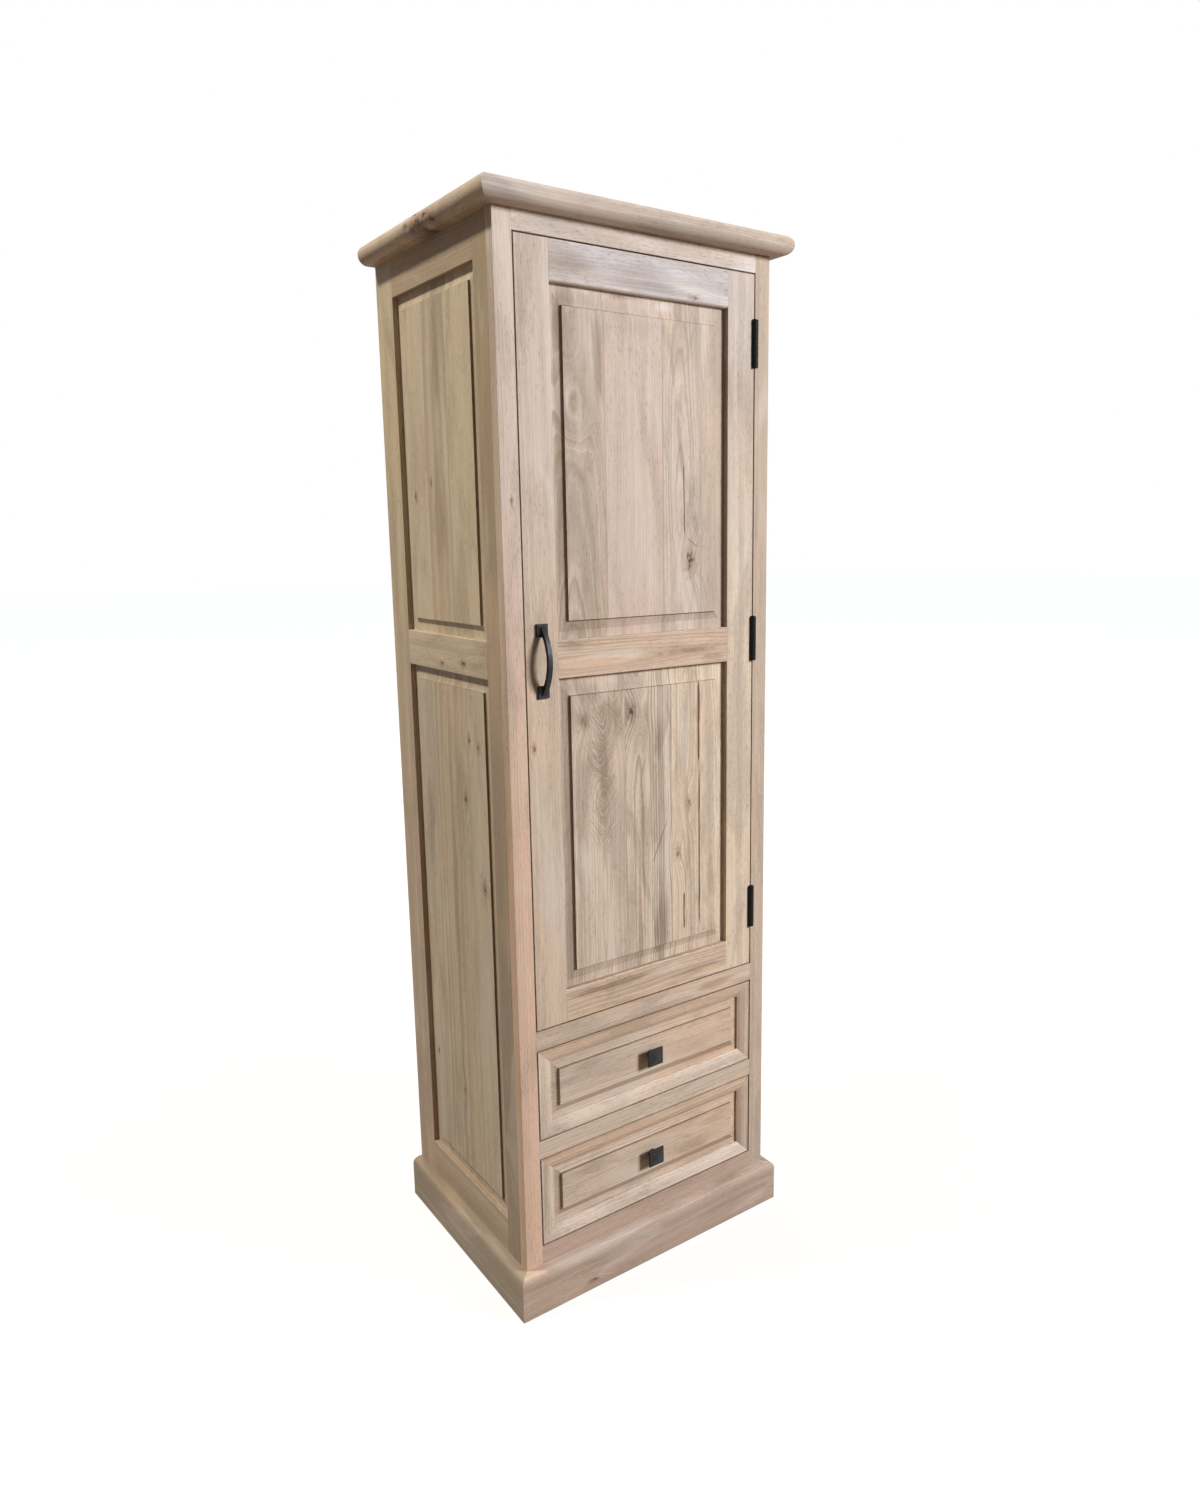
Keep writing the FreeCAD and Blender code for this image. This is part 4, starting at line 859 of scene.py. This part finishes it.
def meshed(name, bm, material):
    """A new object of a shape, which is used up."""
    mesh = bpy.data.meshes.new(name)
    bm.to_mesh(mesh)
    bm.free()
    mesh.materials.append(material)
    return placed(name, mesh)


def place_piece(name, bm, node, material):
    """Makes a shape a piece that stands for its node and rides on the node's body."""
    piece = meshed(name, bm, material)
    weighted = piece.modifiers.new("Even shading", "WEIGHTED_NORMAL")
    weighted.keep_sharp = True
    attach(piece, BODIES[node])
    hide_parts(node)


def is_by_gap(point):
    """Whether a place lies by the gap round the door or a drawer."""
    for low, high in LEAVES:
        inside = all(low[axis] - GAP < point[axis] < high[axis] + GAP for axis in (0, 2))
        offsets = [abs(point[axis] - side[axis]) for axis in (0, 2) for side in (low, high)]
        if inside and min(offsets) < GAP:
            return True
    return False


def bevel_painted_shade(face, out):
    """How much painted shade the bevel round a raised field gets: on the front, the bevels that face
    left or down.
    """
    if out.y > -0.5:
        return 0.0
    if face.normal.x < -LEAN:
        return LEFT_BEVEL_SHADE
    if face.normal.z > -LEAN:
        return 0.0
    return LOW_BEVEL_SHADE if face.calc_center_median().z > DRAWERS_TOP else DRAWER_BEVEL_SHADE


def painted_shade_share(face, board, is_panel):
    """How much painted shade a face gets, by where it points and where it lies."""
    across, _, out = board.axes
    centre = face.calc_center_median()
    sideways = abs(face.normal.dot(across))
    outwards = face.normal.dot(out)
    # On panels, leaning bevels, the field's sides and the panel's edges get painted shade; on
    # frames, the walls inside the case's outline do, most of all by the gaps
    if is_panel and LEANING[0] < outwards < LEANING[1]:
        return bevel_painted_shade(face, out)
    if is_panel:
        return 1.0 if sideways > 0.7 else PANEL_EDGE_SHADE * (abs(outwards) < 0.3)
    if abs(centre.x) > OUTER.x - TOUCH or centre.y < -OUTER.y + TOUCH or sideways < 0.9:
        return 0.0
    if is_by_gap(centre):
        return GAP_SHADE
    return SILL_SHADE if face.normal.z > 0.9 else OPENING_SHADE


def section(node):
    """The outline of a front moulding's left mitre, as bare edges."""
    bm = cleaned(own_shape(node))
    mitre = min(bm.faces, key=lambda face: face.normal.x - face.normal.y)
    others = [vert for vert in bm.verts if vert not in mitre.verts]
    bmesh.ops.delete(bm, geom=others, context="VERTS")
    bmesh.ops.delete(bm, geom=bm.faces[:], context="FACES_ONLY")
    return bm


def drawn_out(bm, edges):
    """Extrudes an outline, and gives its new points and edges."""
    made = bmesh.ops.extrude_edge_only(bm, edges=edges)["geom"]
    points = [item for item in made if isinstance(item, bmesh.types.BMVert)]
    outline = [
        item for item in made
        if isinstance(item, bmesh.types.BMEdge) and all(vert in points for vert in item.verts)
    ]
    return points, outline


def flatten_round(bm):
    """Makes the quarter round on a left mitre's outline flatter, with a tighter shoulder."""
    low, high = extents(bm)
    reach = high.x - low.x
    shoulder = high.z - reach
    for vert in bm.verts:
        across = (high.x - vert.co.x) / reach
        up = (vert.co.z - shoulder) / reach
        if up > TOUCH:
            scale = (across ** LEDGE_POWER + up ** LEDGE_POWER) ** (-1.0 / LEDGE_POWER)
            shift = across * (scale - 1.0) * reach
            vert.co -= Vector((shift, shift, 0.0))
            vert.co.z = shoulder + up * scale * reach * LEDGE_RISE


def moulding_run(run, corner):
    """A cornice or plinth in one length, its mitred corners rounded."""
    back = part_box(f"{run}_left")[1].y
    bm = section(f"{run}_front")
    if run == "plinth":
        flatten_round(bm)
    left_outline = bm.edges[:]
    points, right_outline = drawn_out(bm, left_outline)
    for point in points:
        point.co.x = -point.co.x
    for outline in (left_outline, right_outline):
        for point in drawn_out(bm, outline)[0]:
            point.co.y = back
    bmesh.ops.holes_fill(bm, edges=[edge for edge in bm.edges if edge.is_boundary], sides=0)
    bmesh.ops.recalc_face_normals(bm, faces=bm.faces)
    low, high = extents(bm)
    if run == "plinth":
        rim = settings()[0].plinth_rim
        ease(bm, lower_rim(bm), rim, segments=4, mark_value=RIM_WEAR_AND_HIGHLIGHT)

    def is_mitred(point):
        return abs(high.x - abs(point.x) - point.y + low.y) < TOUCH

    mitred = proud_edges(bm, MITRE_ANGLE, lambda edge: along_whole(edge, is_mitred))
    shade(bm)
    ease(bm, mitred, corner, segments=6, mark_value=CORNER_WEAR_AND_HIGHLIGHT)
    return bm


def cut_off(bm, corner, normal):
    """The part of a shape on the side of a plane that its normal points to, closed again."""
    part = bm.copy()
    everything = [*part.verts, *part.edges, *part.faces]
    cut = bmesh.ops.bisect_plane(
        part, geom=everything, dist=TOUCH, plane_co=corner, plane_no=normal, clear_inner=True)
    rim = [edge for edge in cut["geom_cut"] if isinstance(edge, bmesh.types.BMEdge)]
    bmesh.ops.holes_fill(part, edges=rim, sides=0)
    return part


def moulding_lengths(bm):
    """The left, front and right lengths of a run, cut at its mitres."""
    low, high = extents(bm)
    left = Vector((low.x, low.y, 0.0))
    right = Vector((high.x, low.y, 0.0))
    front = cut_off(bm, left, Vector((1.0, -1.0, 0.0)))
    return {
        "left": cut_off(bm, left, Vector((-1.0, 1.0, 0.0))),
        "front": cut_off(front, right, Vector((-1.0, -1.0, 0.0))),
        "right": cut_off(bm, right, Vector((1.0, 1.0, 0.0))),
    }


def timber_piece(name, bm, node, board_look, arris):
    """A board of the node's shape with its own timber. Mouldings come eased and marked."""
    board = Board(*extents(bm))
    shade(bm)
    is_panel = node.endswith("_panel") and node != "back_panel"
    # Painted shade for each face by where it points, unless the shape already carries painted shade,
    # as the mouldings do
    if not bm.faces.layers.float.get("wall"):
        wall = layer(bm, "wall")
        for face in bm.faces:
            face[wall] = painted_shade_share(face, board, is_panel)
    sizes = settings()[0]
    if is_panel:
        out = board.axes[2]
        # The field's edges get painted shade, wider along the top
        field = {"mark_name": "wall", "mark_value": FIELD_ARRIS_SHADE}
        ease(bm, level_edges(field_edges(bm, out), 2, max), sizes.field_arris * 2.0, **field)
        ease(bm, field_edges(bm, out), sizes.field_arris, **field)
    elif node == "door_top_rail":
        # The rail's lower edge over the panel is rounded wider, and its rounding gets painted shade
        soft = level_edges(level_edges(outer_edges(bm), 2, min), 1, min)
        ease(
            bm, soft, sizes.soft_arris, segments=5, mark_name="wall",
            mark_value=SOFT_ARRIS_SHADE)
    if arris and not is_panel:
        ease(bm, outer_edges(bm), arris)
    seed = sum(ord(letter) * (index + 1) for index, letter in enumerate(name)) % SEED_RANGE
    place_piece(name, bm, node, timber(f"timber_{name}", board, board_look, seed))


def timber_node(node, *looks, arris=None, parts=None):
    """All of a node's solids as boards. A last look serves for the solids that remain."""
    arris = arris or settings()[0].timber_arris
    parts = parts or solids(node)
    for index, bm in enumerate(parts):
        board_look = looks[min(index, len(looks) - 1)]
        name = f"{node}_board" if len(parts) == 1 else f"{node}_board_{index + 1}"
        timber_piece(name, bm, node, board_look, arris)


def swell_knuckles(bm):
    """Makes the round parts of a hinge a little fuller."""
    low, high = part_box("hinge_pins")
    pin = Vector(((low.x + high.x) / 2, (low.y + high.y) / 2, 0.0))
    reach = (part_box("hinge_case_leaves")[1].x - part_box("hinge_case_leaves")[0].x) / 2 + TOUCH
    for vert in bm.verts:
        away = Vector((vert.co.x, vert.co.y, 0.0)) - pin
        if away.length < reach:
            vert.co += away * settings()[0].knuckle_swell


def cast_node(node, arris, is_hinge=False):
    """A node's solids as castings with their edges rounded."""
    for index, bm in enumerate(solids(node)):
        shade(bm)
        rims = proud_edges(bm, RIM_ANGLE if is_hinge else CAST_ANGLE)
        ease(bm, rims, arris, segments=2 if is_hinge else 3)
        if is_hinge:
            swell_knuckles(bm)
        coating = "hinge_iron" if is_hinge else SLOTS[node]
        place_piece(f"{node}_cast_{index + 1}", bm, node, fitting_material(coating))


# Looks of the boards
CASE_LOOKS = {
    "face_left_stile": look(
        Plank("pale", 0.3, 0.2, low_tone="salmon"), knots=((0.57, 0.761, 0.005, 0.8),)),
    "face_right_stile": look(Plank("toast", 0.35, 0.3, low_tone="fawn")),
    "face_top_rail": look(Plank("mist", 0.1, 0.15)),
    "face_middle_rail": look(
        Plank("tan", 0.5, 0.3), clouds=((0.78, 0.5, 0.06, 0.012, 0.5),)),
    "face_drawer_rail": look(Plank("cream", 0.5, 0.3)),
    "face_bottom_rail": look(Plank("clay", 0.5, 0.5)),
}
SIDE_LOOKS = {
    "front_stile": look(Plank("umber", 0.25, 0.25, low_tone="bark")),
    "rear_stile": look(Plank("straw", 0.25, 0.2, low_tone="toast")),
    "upper_panel": look(
        Plank("olive", 0.14, 0.08), Plank("moss", 0.25, 0.55, (0.5, 0.35, 0.05)),
        Plank("olive", 0.16, 0.1),
        joints=(0.385, 0.646), knots=((0.606, 0.448, 0.005, 0.9), (0.806, 0.412, 0.007, 0.9)),
        clouds=(
            (0.51, 0.35, 0.03, 0.12, 0.35), (0.5, 0.8, 0.028, 0.12, 0.3),
            (0.2, 0.3, 0.02, 0.1, 0.15))),
    "lower_panel": look(
        Plank("reed", 0.25, 0.35), Plank("moss", 0.45, 0.75), Plank("reed", 0.3, 0.4),
        joints=(0.3, 0.678),
        clouds=(
            (0.5, 0.55, 0.02, 0.2, 0.35), (0.8, 0.7, 0.02, 0.12, 0.25),
            (0.55, 0.2, 0.03, 0.08, 0.25), (0.15, 0.4, 0.015, 0.15, -0.4)),
        knots=(
            (0.282, 0.878, 0.008, 0.8), (0.182, 0.869, 0.007, 0.8),
            (0.347, 0.769, 0.008, 0.8), (0.166, 0.616, 0.011, 0.8),
            (0.857, 0.223, 0.007, 0.7), (0.519, 0.187, 0.007, 0.7))),
}
SIDE_RAIL_LOOKS = (
    look(Plank("toast", 0.45, 0.4)),
    look(
        Plank("olive", 0.4, 0.4),
        knots=((0.551, 0.208, 0.006, 0.8), (0.297, 0.298, 0.008, 0.9))),
    look(Plank("umber", 0.4, 0.3)),
)
MOULDING_LOOKS = {
    "cornice_front": look(Plank("ash", 0.3, 0.3, low_tone="dove")),
    "cornice_left": look(
        Plank("fawn", 0.3, 0.3),
        knots=(
            (0.46, 0.35, 0.022, 0.8), (0.41, 0.5, 0.012, 0.95), (0.52, 0.22, 0.01, 0.95),
            (0.37, 0.2, 0.01, 0.9), (0.56, 0.5, 0.007, 0.9), (0.49, 0.8, 0.01, 0.95),
            (0.45, 0.1, 0.012, 0.95)),
        clouds=(
            (0.44, 0.45, 0.03, 0.005, -0.85), (0.5, 0.68, 0.02, 0.004, -0.8),
            (0.4, 0.1, 0.03, 0.004, -0.7), (0.54, 0.3, 0.014, 0.004, -0.8),
            (0.46, 0.2, 0.065, 0.014, 0.6), (0.79, 0.5, 0.0016, 0.04, 0.6))),
    "cornice_right": look(Plank("tan", 0.3, 0.3)),
    "plinth_front": look(
        Plank("clay", 0.5, 0.5), knots=((0.2475, 0.223, 0.007, 0.9),),
        clouds=((0.3, 0.6, 0.1, 0.02, 0.25), (0.75, 0.5, 0.12, 0.02, 0.2))),
    "plinth_left": look(Plank("bark", 0.4, 0.35, low_tone="drift")),
    "plinth_right": look(Plank("umber", 0.35, 0.35)),
}
DOOR_LOOKS = {
    "door_left_stile": look(
        Plank("pale", 0.3, 0.35, low_tone="oat"), knots=((0.173, 0.384, 0.007, 0.7),)),
    "door_right_stile": look(Plank("shell", 0.2, 0.3, low_tone="butter")),
    # Two of the rail's clouds darken it along its lower edge
    "door_top_rail": look(
        Plank("fog", 0.2, 0.35), knots=((0.777, 0.13, 0.009, 0.6),),
        clouds=(
            (0.45, 0.6, 0.08, 0.016, 0.3), (0.12, 0.5, 0.05, 0.02, 0.3),
            (0.5, 0.2, 0.13, 0.014, 0.5), (0.85, 0.1, 0.05, 0.008, 0.3))),
    "door_centre_rail": look(
        Plank("brick", 0.8, 0.6, (0.55, 0.4, 0.02)),
        clouds=(
            (0.74, 0.45, 0.06, 0.012, 0.65), (0.1, 0.8, 0.03, 0.01, 0.4),
            (0.9, 0.2, 0.04, 0.008, 0.4), (0.35, 0.5, 0.09, 0.01, -0.5))),
    "door_bottom_rail": look(
        Plank("honey", 0.7, 0.5),
        clouds=(
            (0.3, 0.75, 0.12, 0.009, 0.7), (0.75, 0.35, 0.06, 0.01, 0.5),
            (0.6, 0.7, 0.06, 0.008, -0.5))),
    # Two of the panel's dark clouds lie along its top bevel, under the rail
    "door_upper_panel": look(
        Plank("ash", 0.6, 0.6, (0.127, -0.6, 0.06), "fawn"), Plank("blush", 0.16, 0.15),
        Plank("pale", 0.65, 0.35, (0.7, 0.45, 0.08)), Plank("ash", 0.3, 0.5),
        joints=(0.2925, 0.602, 0.823),
        knots=((0.757, 0.231, 0.017, 0.85), (0.127, 0.668, 0.017, 0.0)),
        clouds=(
            (0.258, 0.82, 0.01, 0.1, 0.55), (0.1, 0.88, 0.025, 0.07, 0.45),
            (0.1, 0.6, 0.022, 0.05, 0.3), (0.13, 0.675, 0.012, 0.025, 0.35),
            (0.16, 0.64, 0.006, 0.05, -0.3), (0.62, 0.965, 0.022, 0.012, -0.8),
            (0.2, 0.98, 0.02, 0.008, -0.6), (0.4, 0.985, 0.05, 0.01, 0.5),
            (0.78, 0.99, 0.04, 0.008, 0.4), (0.5, 0.9, 0.03, 0.03, 0.2)),
        cracks=(((0.72, 0.531), (0.725, 0.3), 0.0013), ((0.74, 0.3), (0.8, 0.27), 0.001))),
    "door_lower_panel": look(
        Plank("wheat", 0.6, 0.6, (0.25, 0.5, 0.04)),
        Plank("cream", 0.9, 0.7, (0.45, 0.2, 0.03)),
        Plank("butter", 0.5, 0.4), Plank("butter", 0.5, 0.4),
        joints=(0.375, 0.6407, 0.8065),
        knots=(
            (0.41, 0.86, 0.013, 0.9), (0.747, 0.531, 0.011, 0.6), (0.678, 0.373, 0.01, 0.7),
            (0.149, 0.852, 0.011, 0.4), (0.246, 0.72, 0.012, 0.0)),
        clouds=(
            (0.252, 0.7, 0.012, 0.1, 0.6), (0.31, 0.86, 0.028, 0.045, 0.6),
            (0.2, 0.93, 0.03, 0.02, 0.3), (0.47, 0.5, 0.008, 0.13, 0.4),
            (0.47, 0.8, 0.03, 0.06, 0.4), (0.57, 0.13, 0.022, 0.08, 0.55),
            (0.56, 0.78, 0.01, 0.06, 0.45), (0.15, 0.4, 0.02, 0.08, -0.45),
            (0.72, 0.75, 0.015, 0.08, -0.4),
            (0.15, 0.85, 0.015, 0.02, 0.4), (0.62, 0.88, 0.008, 0.05, 0.4)),
        cracks=(
            ((0.806, 0.95), (0.806, 0.65), 0.0028), ((0.809, 0.66), (0.809, 0.083), 0.0018),
            ((0.713, 0.238), (0.713, 0.0985), 0.0018),
            ((0.618, 0.495), (0.52, 0.35), 0.0008)),
        feathers=((0.25, 0.68, 0.05, 0.16, 0.7), (0.33, 0.86, 0.04, 0.06, 0.5))),
}
DRAWER_FRAME_LOOKS = (
    look(Plank("cream", 0.35, 0.15)), look(Plank("tan", 0.35, 0.2)),
    look(Plank("linen", 0.4, 0.15)), look(Plank("brick", 0.45, 0.25)),
)
DRAWER_PANEL_LOOK = look(
    Plank("brick", 0.4, 0.2, low_tone="wheat"),
    clouds=(
        (0.2, 0.7, 0.04, 0.012, 0.3), (0.72, 0.4, 0.06, 0.014, 0.2),
        (0.45, 0.3, 0.08, 0.01, -0.4)))
INSIDE_LOOK = look(Plank("inside", 0.35, 0.2))
WIDE_LOOK = look(Plank("inside", 0.4, 0.25), joints=(0.25, 0.5, 0.75))
TOP_LOOK = look(Plank("mist", 0.3, 0.3), Plank("tan", 0.3, 0.3), joints=(0.25, 0.5, 0.75))


# Operators
class CabinetFaceFrame(bpy.types.Operator):
    """Stiles and rails of the case's front"""
    bl_idname = "cabinet.face_frame"
    bl_label = "Face frame"

    def execute(self, context):
        for node, board_look in CASE_LOOKS.items():
            timber_node(node, board_look)
        return {"FINISHED"}


class CabinetSides(bpy.types.Operator):
    """Stiles, rails and raised panels of both sides"""
    bl_idname = "cabinet.sides"
    bl_label = "Sides"

    def execute(self, context):
        for side in ("left", "right"):
            for part, board_look in SIDE_LOOKS.items():
                timber_node(f"{side}_{part}", board_look)
            timber_node(f"{side}_side_rails", *SIDE_RAIL_LOOKS)
        return {"FINISHED"}


class CabinetMouldings(bpy.types.Operator):
    """Cornice and plinth with their mitred corners"""
    bl_idname = "cabinet.mouldings"
    bl_label = "Cornice and plinth"

    def execute(self, context):
        sizes = context.scene.cabinet_sizes
        for run, corner in (("cornice", sizes.cornice_corner), ("plinth", sizes.plinth_corner)):
            whole = moulding_run(run, corner)
            for side, bm in moulding_lengths(whole).items():
                node = f"{run}_{side}"
                timber_piece(f"{node}_board", bm, node, MOULDING_LOOKS[node], 0.0)
        return {"FINISHED"}


class CabinetBoards(bpy.types.Operator):
    """Top, back, floors, shelves and drawer guides"""
    bl_idname = "cabinet.boards"
    bl_label = "Case boards"

    def execute(self, context):
        timber_node("top_board", TOP_LOOK)
        for node in (
                "back_panel", "bottom_board", "drawer_divider", "compartment_floor", "shelves"):
            timber_node(node, WIDE_LOOK)
        timber_node("drawer_guides", INSIDE_LOOK)
        return {"FINISHED"}


class CabinetDoor(bpy.types.Operator):
    """The door's frame and raised panels"""
    bl_idname = "cabinet.door"
    bl_label = "Door"

    def execute(self, context):
        sizes = context.scene.cabinet_sizes
        for node, board_look in DOOR_LOOKS.items():
            is_low_rail = node in ("door_centre_rail", "door_bottom_rail")
            timber_node(node, board_look, arris=sizes.rail_arris if is_low_rail else None)
        return {"FINISHED"}


class CabinetDrawers(bpy.types.Operator):
    """Both drawers: mitred fronts and their boxes"""
    bl_idname = "cabinet.drawers"
    bl_label = "Drawers"

    def execute(self, context):
        sizes = context.scene.cabinet_sizes
        for drawer in ("upper_drawer", "lower_drawer"):
            front = f"{drawer}_front_frame"
            timber_node(
                front, *DRAWER_FRAME_LOOKS, arris=sizes.rail_arris, parts=mitred_members(front))
            timber_node(f"{drawer}_front_panel", DRAWER_PANEL_LOOK)
            for part in ("left_side", "right_side", "back", "bottom"):
                timber_node(f"{drawer}_{part}", INSIDE_LOOK)
        return {"FINISHED"}


class CabinetIronwork(bpy.types.Operator):
    """The pull, the knobs and the hinges"""
    bl_idname = "cabinet.ironwork"
    bl_label = "Ironwork"

    def execute(self, context):
        sizes = context.scene.cabinet_sizes
        cast_node("door_handle", sizes.iron_arris)
        for drawer in ("upper_drawer", "lower_drawer"):
            cast_node(f"{drawer}_knob", sizes.knob_arris)
        for node in ("hinge_case_leaves", "hinge_door_leaves", "hinge_pins"):
            cast_node(node, sizes.knuckle_arris, is_hinge=True)
        return {"FINISHED"}


class CabinetFittings(bpy.types.Operator):
    """Screws, shelf pins and the door's catch"""
    bl_idname = "cabinet.fittings"
    bl_label = "Fittings"

    def execute(self, context):
        for node in (
                "hinge_case_screws", "hinge_door_screws", "handle_screws", "shelf_pins",
                "catch_strike", "door_catch"):
            for slot in frame["nodes"][node].material_slots:
                slot.material = fitting_material(SLOTS[node])
        return {"FINISHED"}


# Studio: where the lamps shine from and how wide, their setting for power and their tint
LAMPS = {
    "front_light": ((3.4, -4.6, 3.3), 1.5, "front_power", (0.985, 0.985, 1.0)),
    "side_light": ((-4.5, 1.9, 8.0), 0.75, "side_power", (1.0, 0.92, 0.76)),
    "back_light": ((1.4, 4.6, 2.8), 1.8, "back_power", (1.0, 0.98, 0.95)),
}
LAMP_AIM = Vector((0.0, 0.0, 1.0))
FLOOR_REACH = 30.0
FLOOR_TONE = (0.2, 0.155, 0.115, 1.0)
FLOOR_GLOW = (0.97, 0.985, 1.0, 1.0)
FLOOR_FADE = (0.8, 3.5)
CAMERA_PLACE = (-1.0817, -1.6664, 1.3734)
CAMERA_ANGLES = (79.868, 0.774, -35.471)
CAMERA_SHIFT = (-0.0177, -0.0185)
SENSOR_WIDTH = 36.0


class CabinetStage(bpy.types.Operator):
    """White floor, even light, three soft lamps and the camera"""
    bl_idname = "cabinet.stage"
    bl_label = "Studio"

    def execute(self, context):
        studio = context.scene.cabinet_studio
        self.floor(studio)
        self.world(context.scene, studio)
        for name, (place, size, watts, tint) in LAMPS.items():
            self.lamp(name, place, size, getattr(studio, watts), tint)
        self.camera(context.scene, studio)
        return {"FINISHED"}

    def seen(self, wire):
        """One for rays that show the background: from the camera or through a gloss."""
        rays = wire.node("LightPath", {})
        gloss = wire.math("MAXIMUM", rays["Is Glossy Ray"], rays["Is Transmission Ray"])
        return wire.math("MAXIMUM", rays["Is Camera Ray"], gloss)

    def floor(self, studio):
        """A wide white floor that keeps the cabinet's shadow."""
        bm = bmesh.new()
        bmesh.ops.create_grid(bm, x_segments=1, y_segments=1, size=FLOOR_REACH)
        material, surface, wire = new_material("studio_floor", 0.0)
        surface.inputs["Base Color"].default_value = FLOOR_TONE
        surface.inputs["Roughness"].default_value = 0.9
        surface.inputs["Emission Color"].default_value = FLOOR_GLOW
        lift = wire.ramp(wire.length(wire.own()), *FLOOR_FADE, studio.floor_lift, 1.0)
        wire.feed(surface.inputs["Emission Strength"], wire.times(self.seen(wire), lift))
        meshed("floor", bm, material)

    def world(self, scene, studio):
        """Even light all round, and a white background."""
        world = bpy.data.worlds.new("studio")
        world.use_nodes = True
        wire = Wiring(world.node_tree)
        background = world.node_tree.nodes["Background"]
        background.inputs["Color"].default_value = (1.0, 1.0, 1.0, 1.0)
        strength = wire.plus(studio.ambient, self.seen(wire), 1.0 - studio.ambient)
        wire.feed(background.inputs["Strength"], strength)
        scene.world = world

    def lamp(self, name, place, size, watts, tint):
        """A square lamp that shines on the middle of the cabinet."""
        light = bpy.data.lights.new(name, "AREA")
        light.energy = watts
        light.size = size
        light.color = tint
        lamp = placed(name, light)
        lamp.location = place
        lamp.rotation_euler = (lamp.location - LAMP_AIM).to_track_quat("Z", "Y").to_euler()

    def camera(self, scene, studio):
        """The camera, to the left of the front and a little below the top."""
        lens = bpy.data.cameras.new("camera")
        lens.sensor_width = SENSOR_WIDTH
        lens.lens = studio.lens
        lens.shift_x, lens.shift_y = CAMERA_SHIFT
        camera = placed("camera", lens)
        camera.location = CAMERA_PLACE
        camera.rotation_euler = [math.radians(angle) for angle in CAMERA_ANGLES]
        scene.camera = camera
        scene.view_settings.view_transform = "Standard"


STEPS = (
    CabinetStage, CabinetFaceFrame, CabinetSides, CabinetMouldings, CabinetBoards, CabinetDoor,
    CabinetDrawers, CabinetIronwork, CabinetFittings,
)


class CabinetPanel(bpy.types.Panel):
    """Settings and steps of the cabinet"""
    bl_idname = "VIEW3D_PT_cabinet"
    bl_label = "Tall cabinet"
    bl_space_type = "VIEW_3D"
    bl_region_type = "UI"
    bl_category = "Cabinet"

    def draw(self, context):
        for group in settings():
            box = self.layout.box()
            for name in group.__annotations__:
                box.prop(group, name)
        for step in STEPS:
            self.layout.operator(step.bl_idname)


GROUPS = {
    "cabinet_sizes": CabinetSizes, "cabinet_colours": CabinetColours,
    "cabinet_studio": CabinetStudio}
CLASSES = (*GROUPS.values(), *STEPS, CabinetPanel)


def register():
    for cls in CLASSES:
        bpy.utils.register_class(cls)
    for name, group in GROUPS.items():
        setattr(bpy.types.Scene, name, PointerProperty(type=group))


def unregister():
    for name in GROUPS:
        delattr(bpy.types.Scene, name)
    for cls in reversed(CLASSES):
        bpy.utils.unregister_class(cls)


def main():
    register()
    for step in STEPS:
        family, name = step.bl_idname.split(".")
        getattr(getattr(bpy.ops, family), name)()


if __name__ == "__main__":
    main()
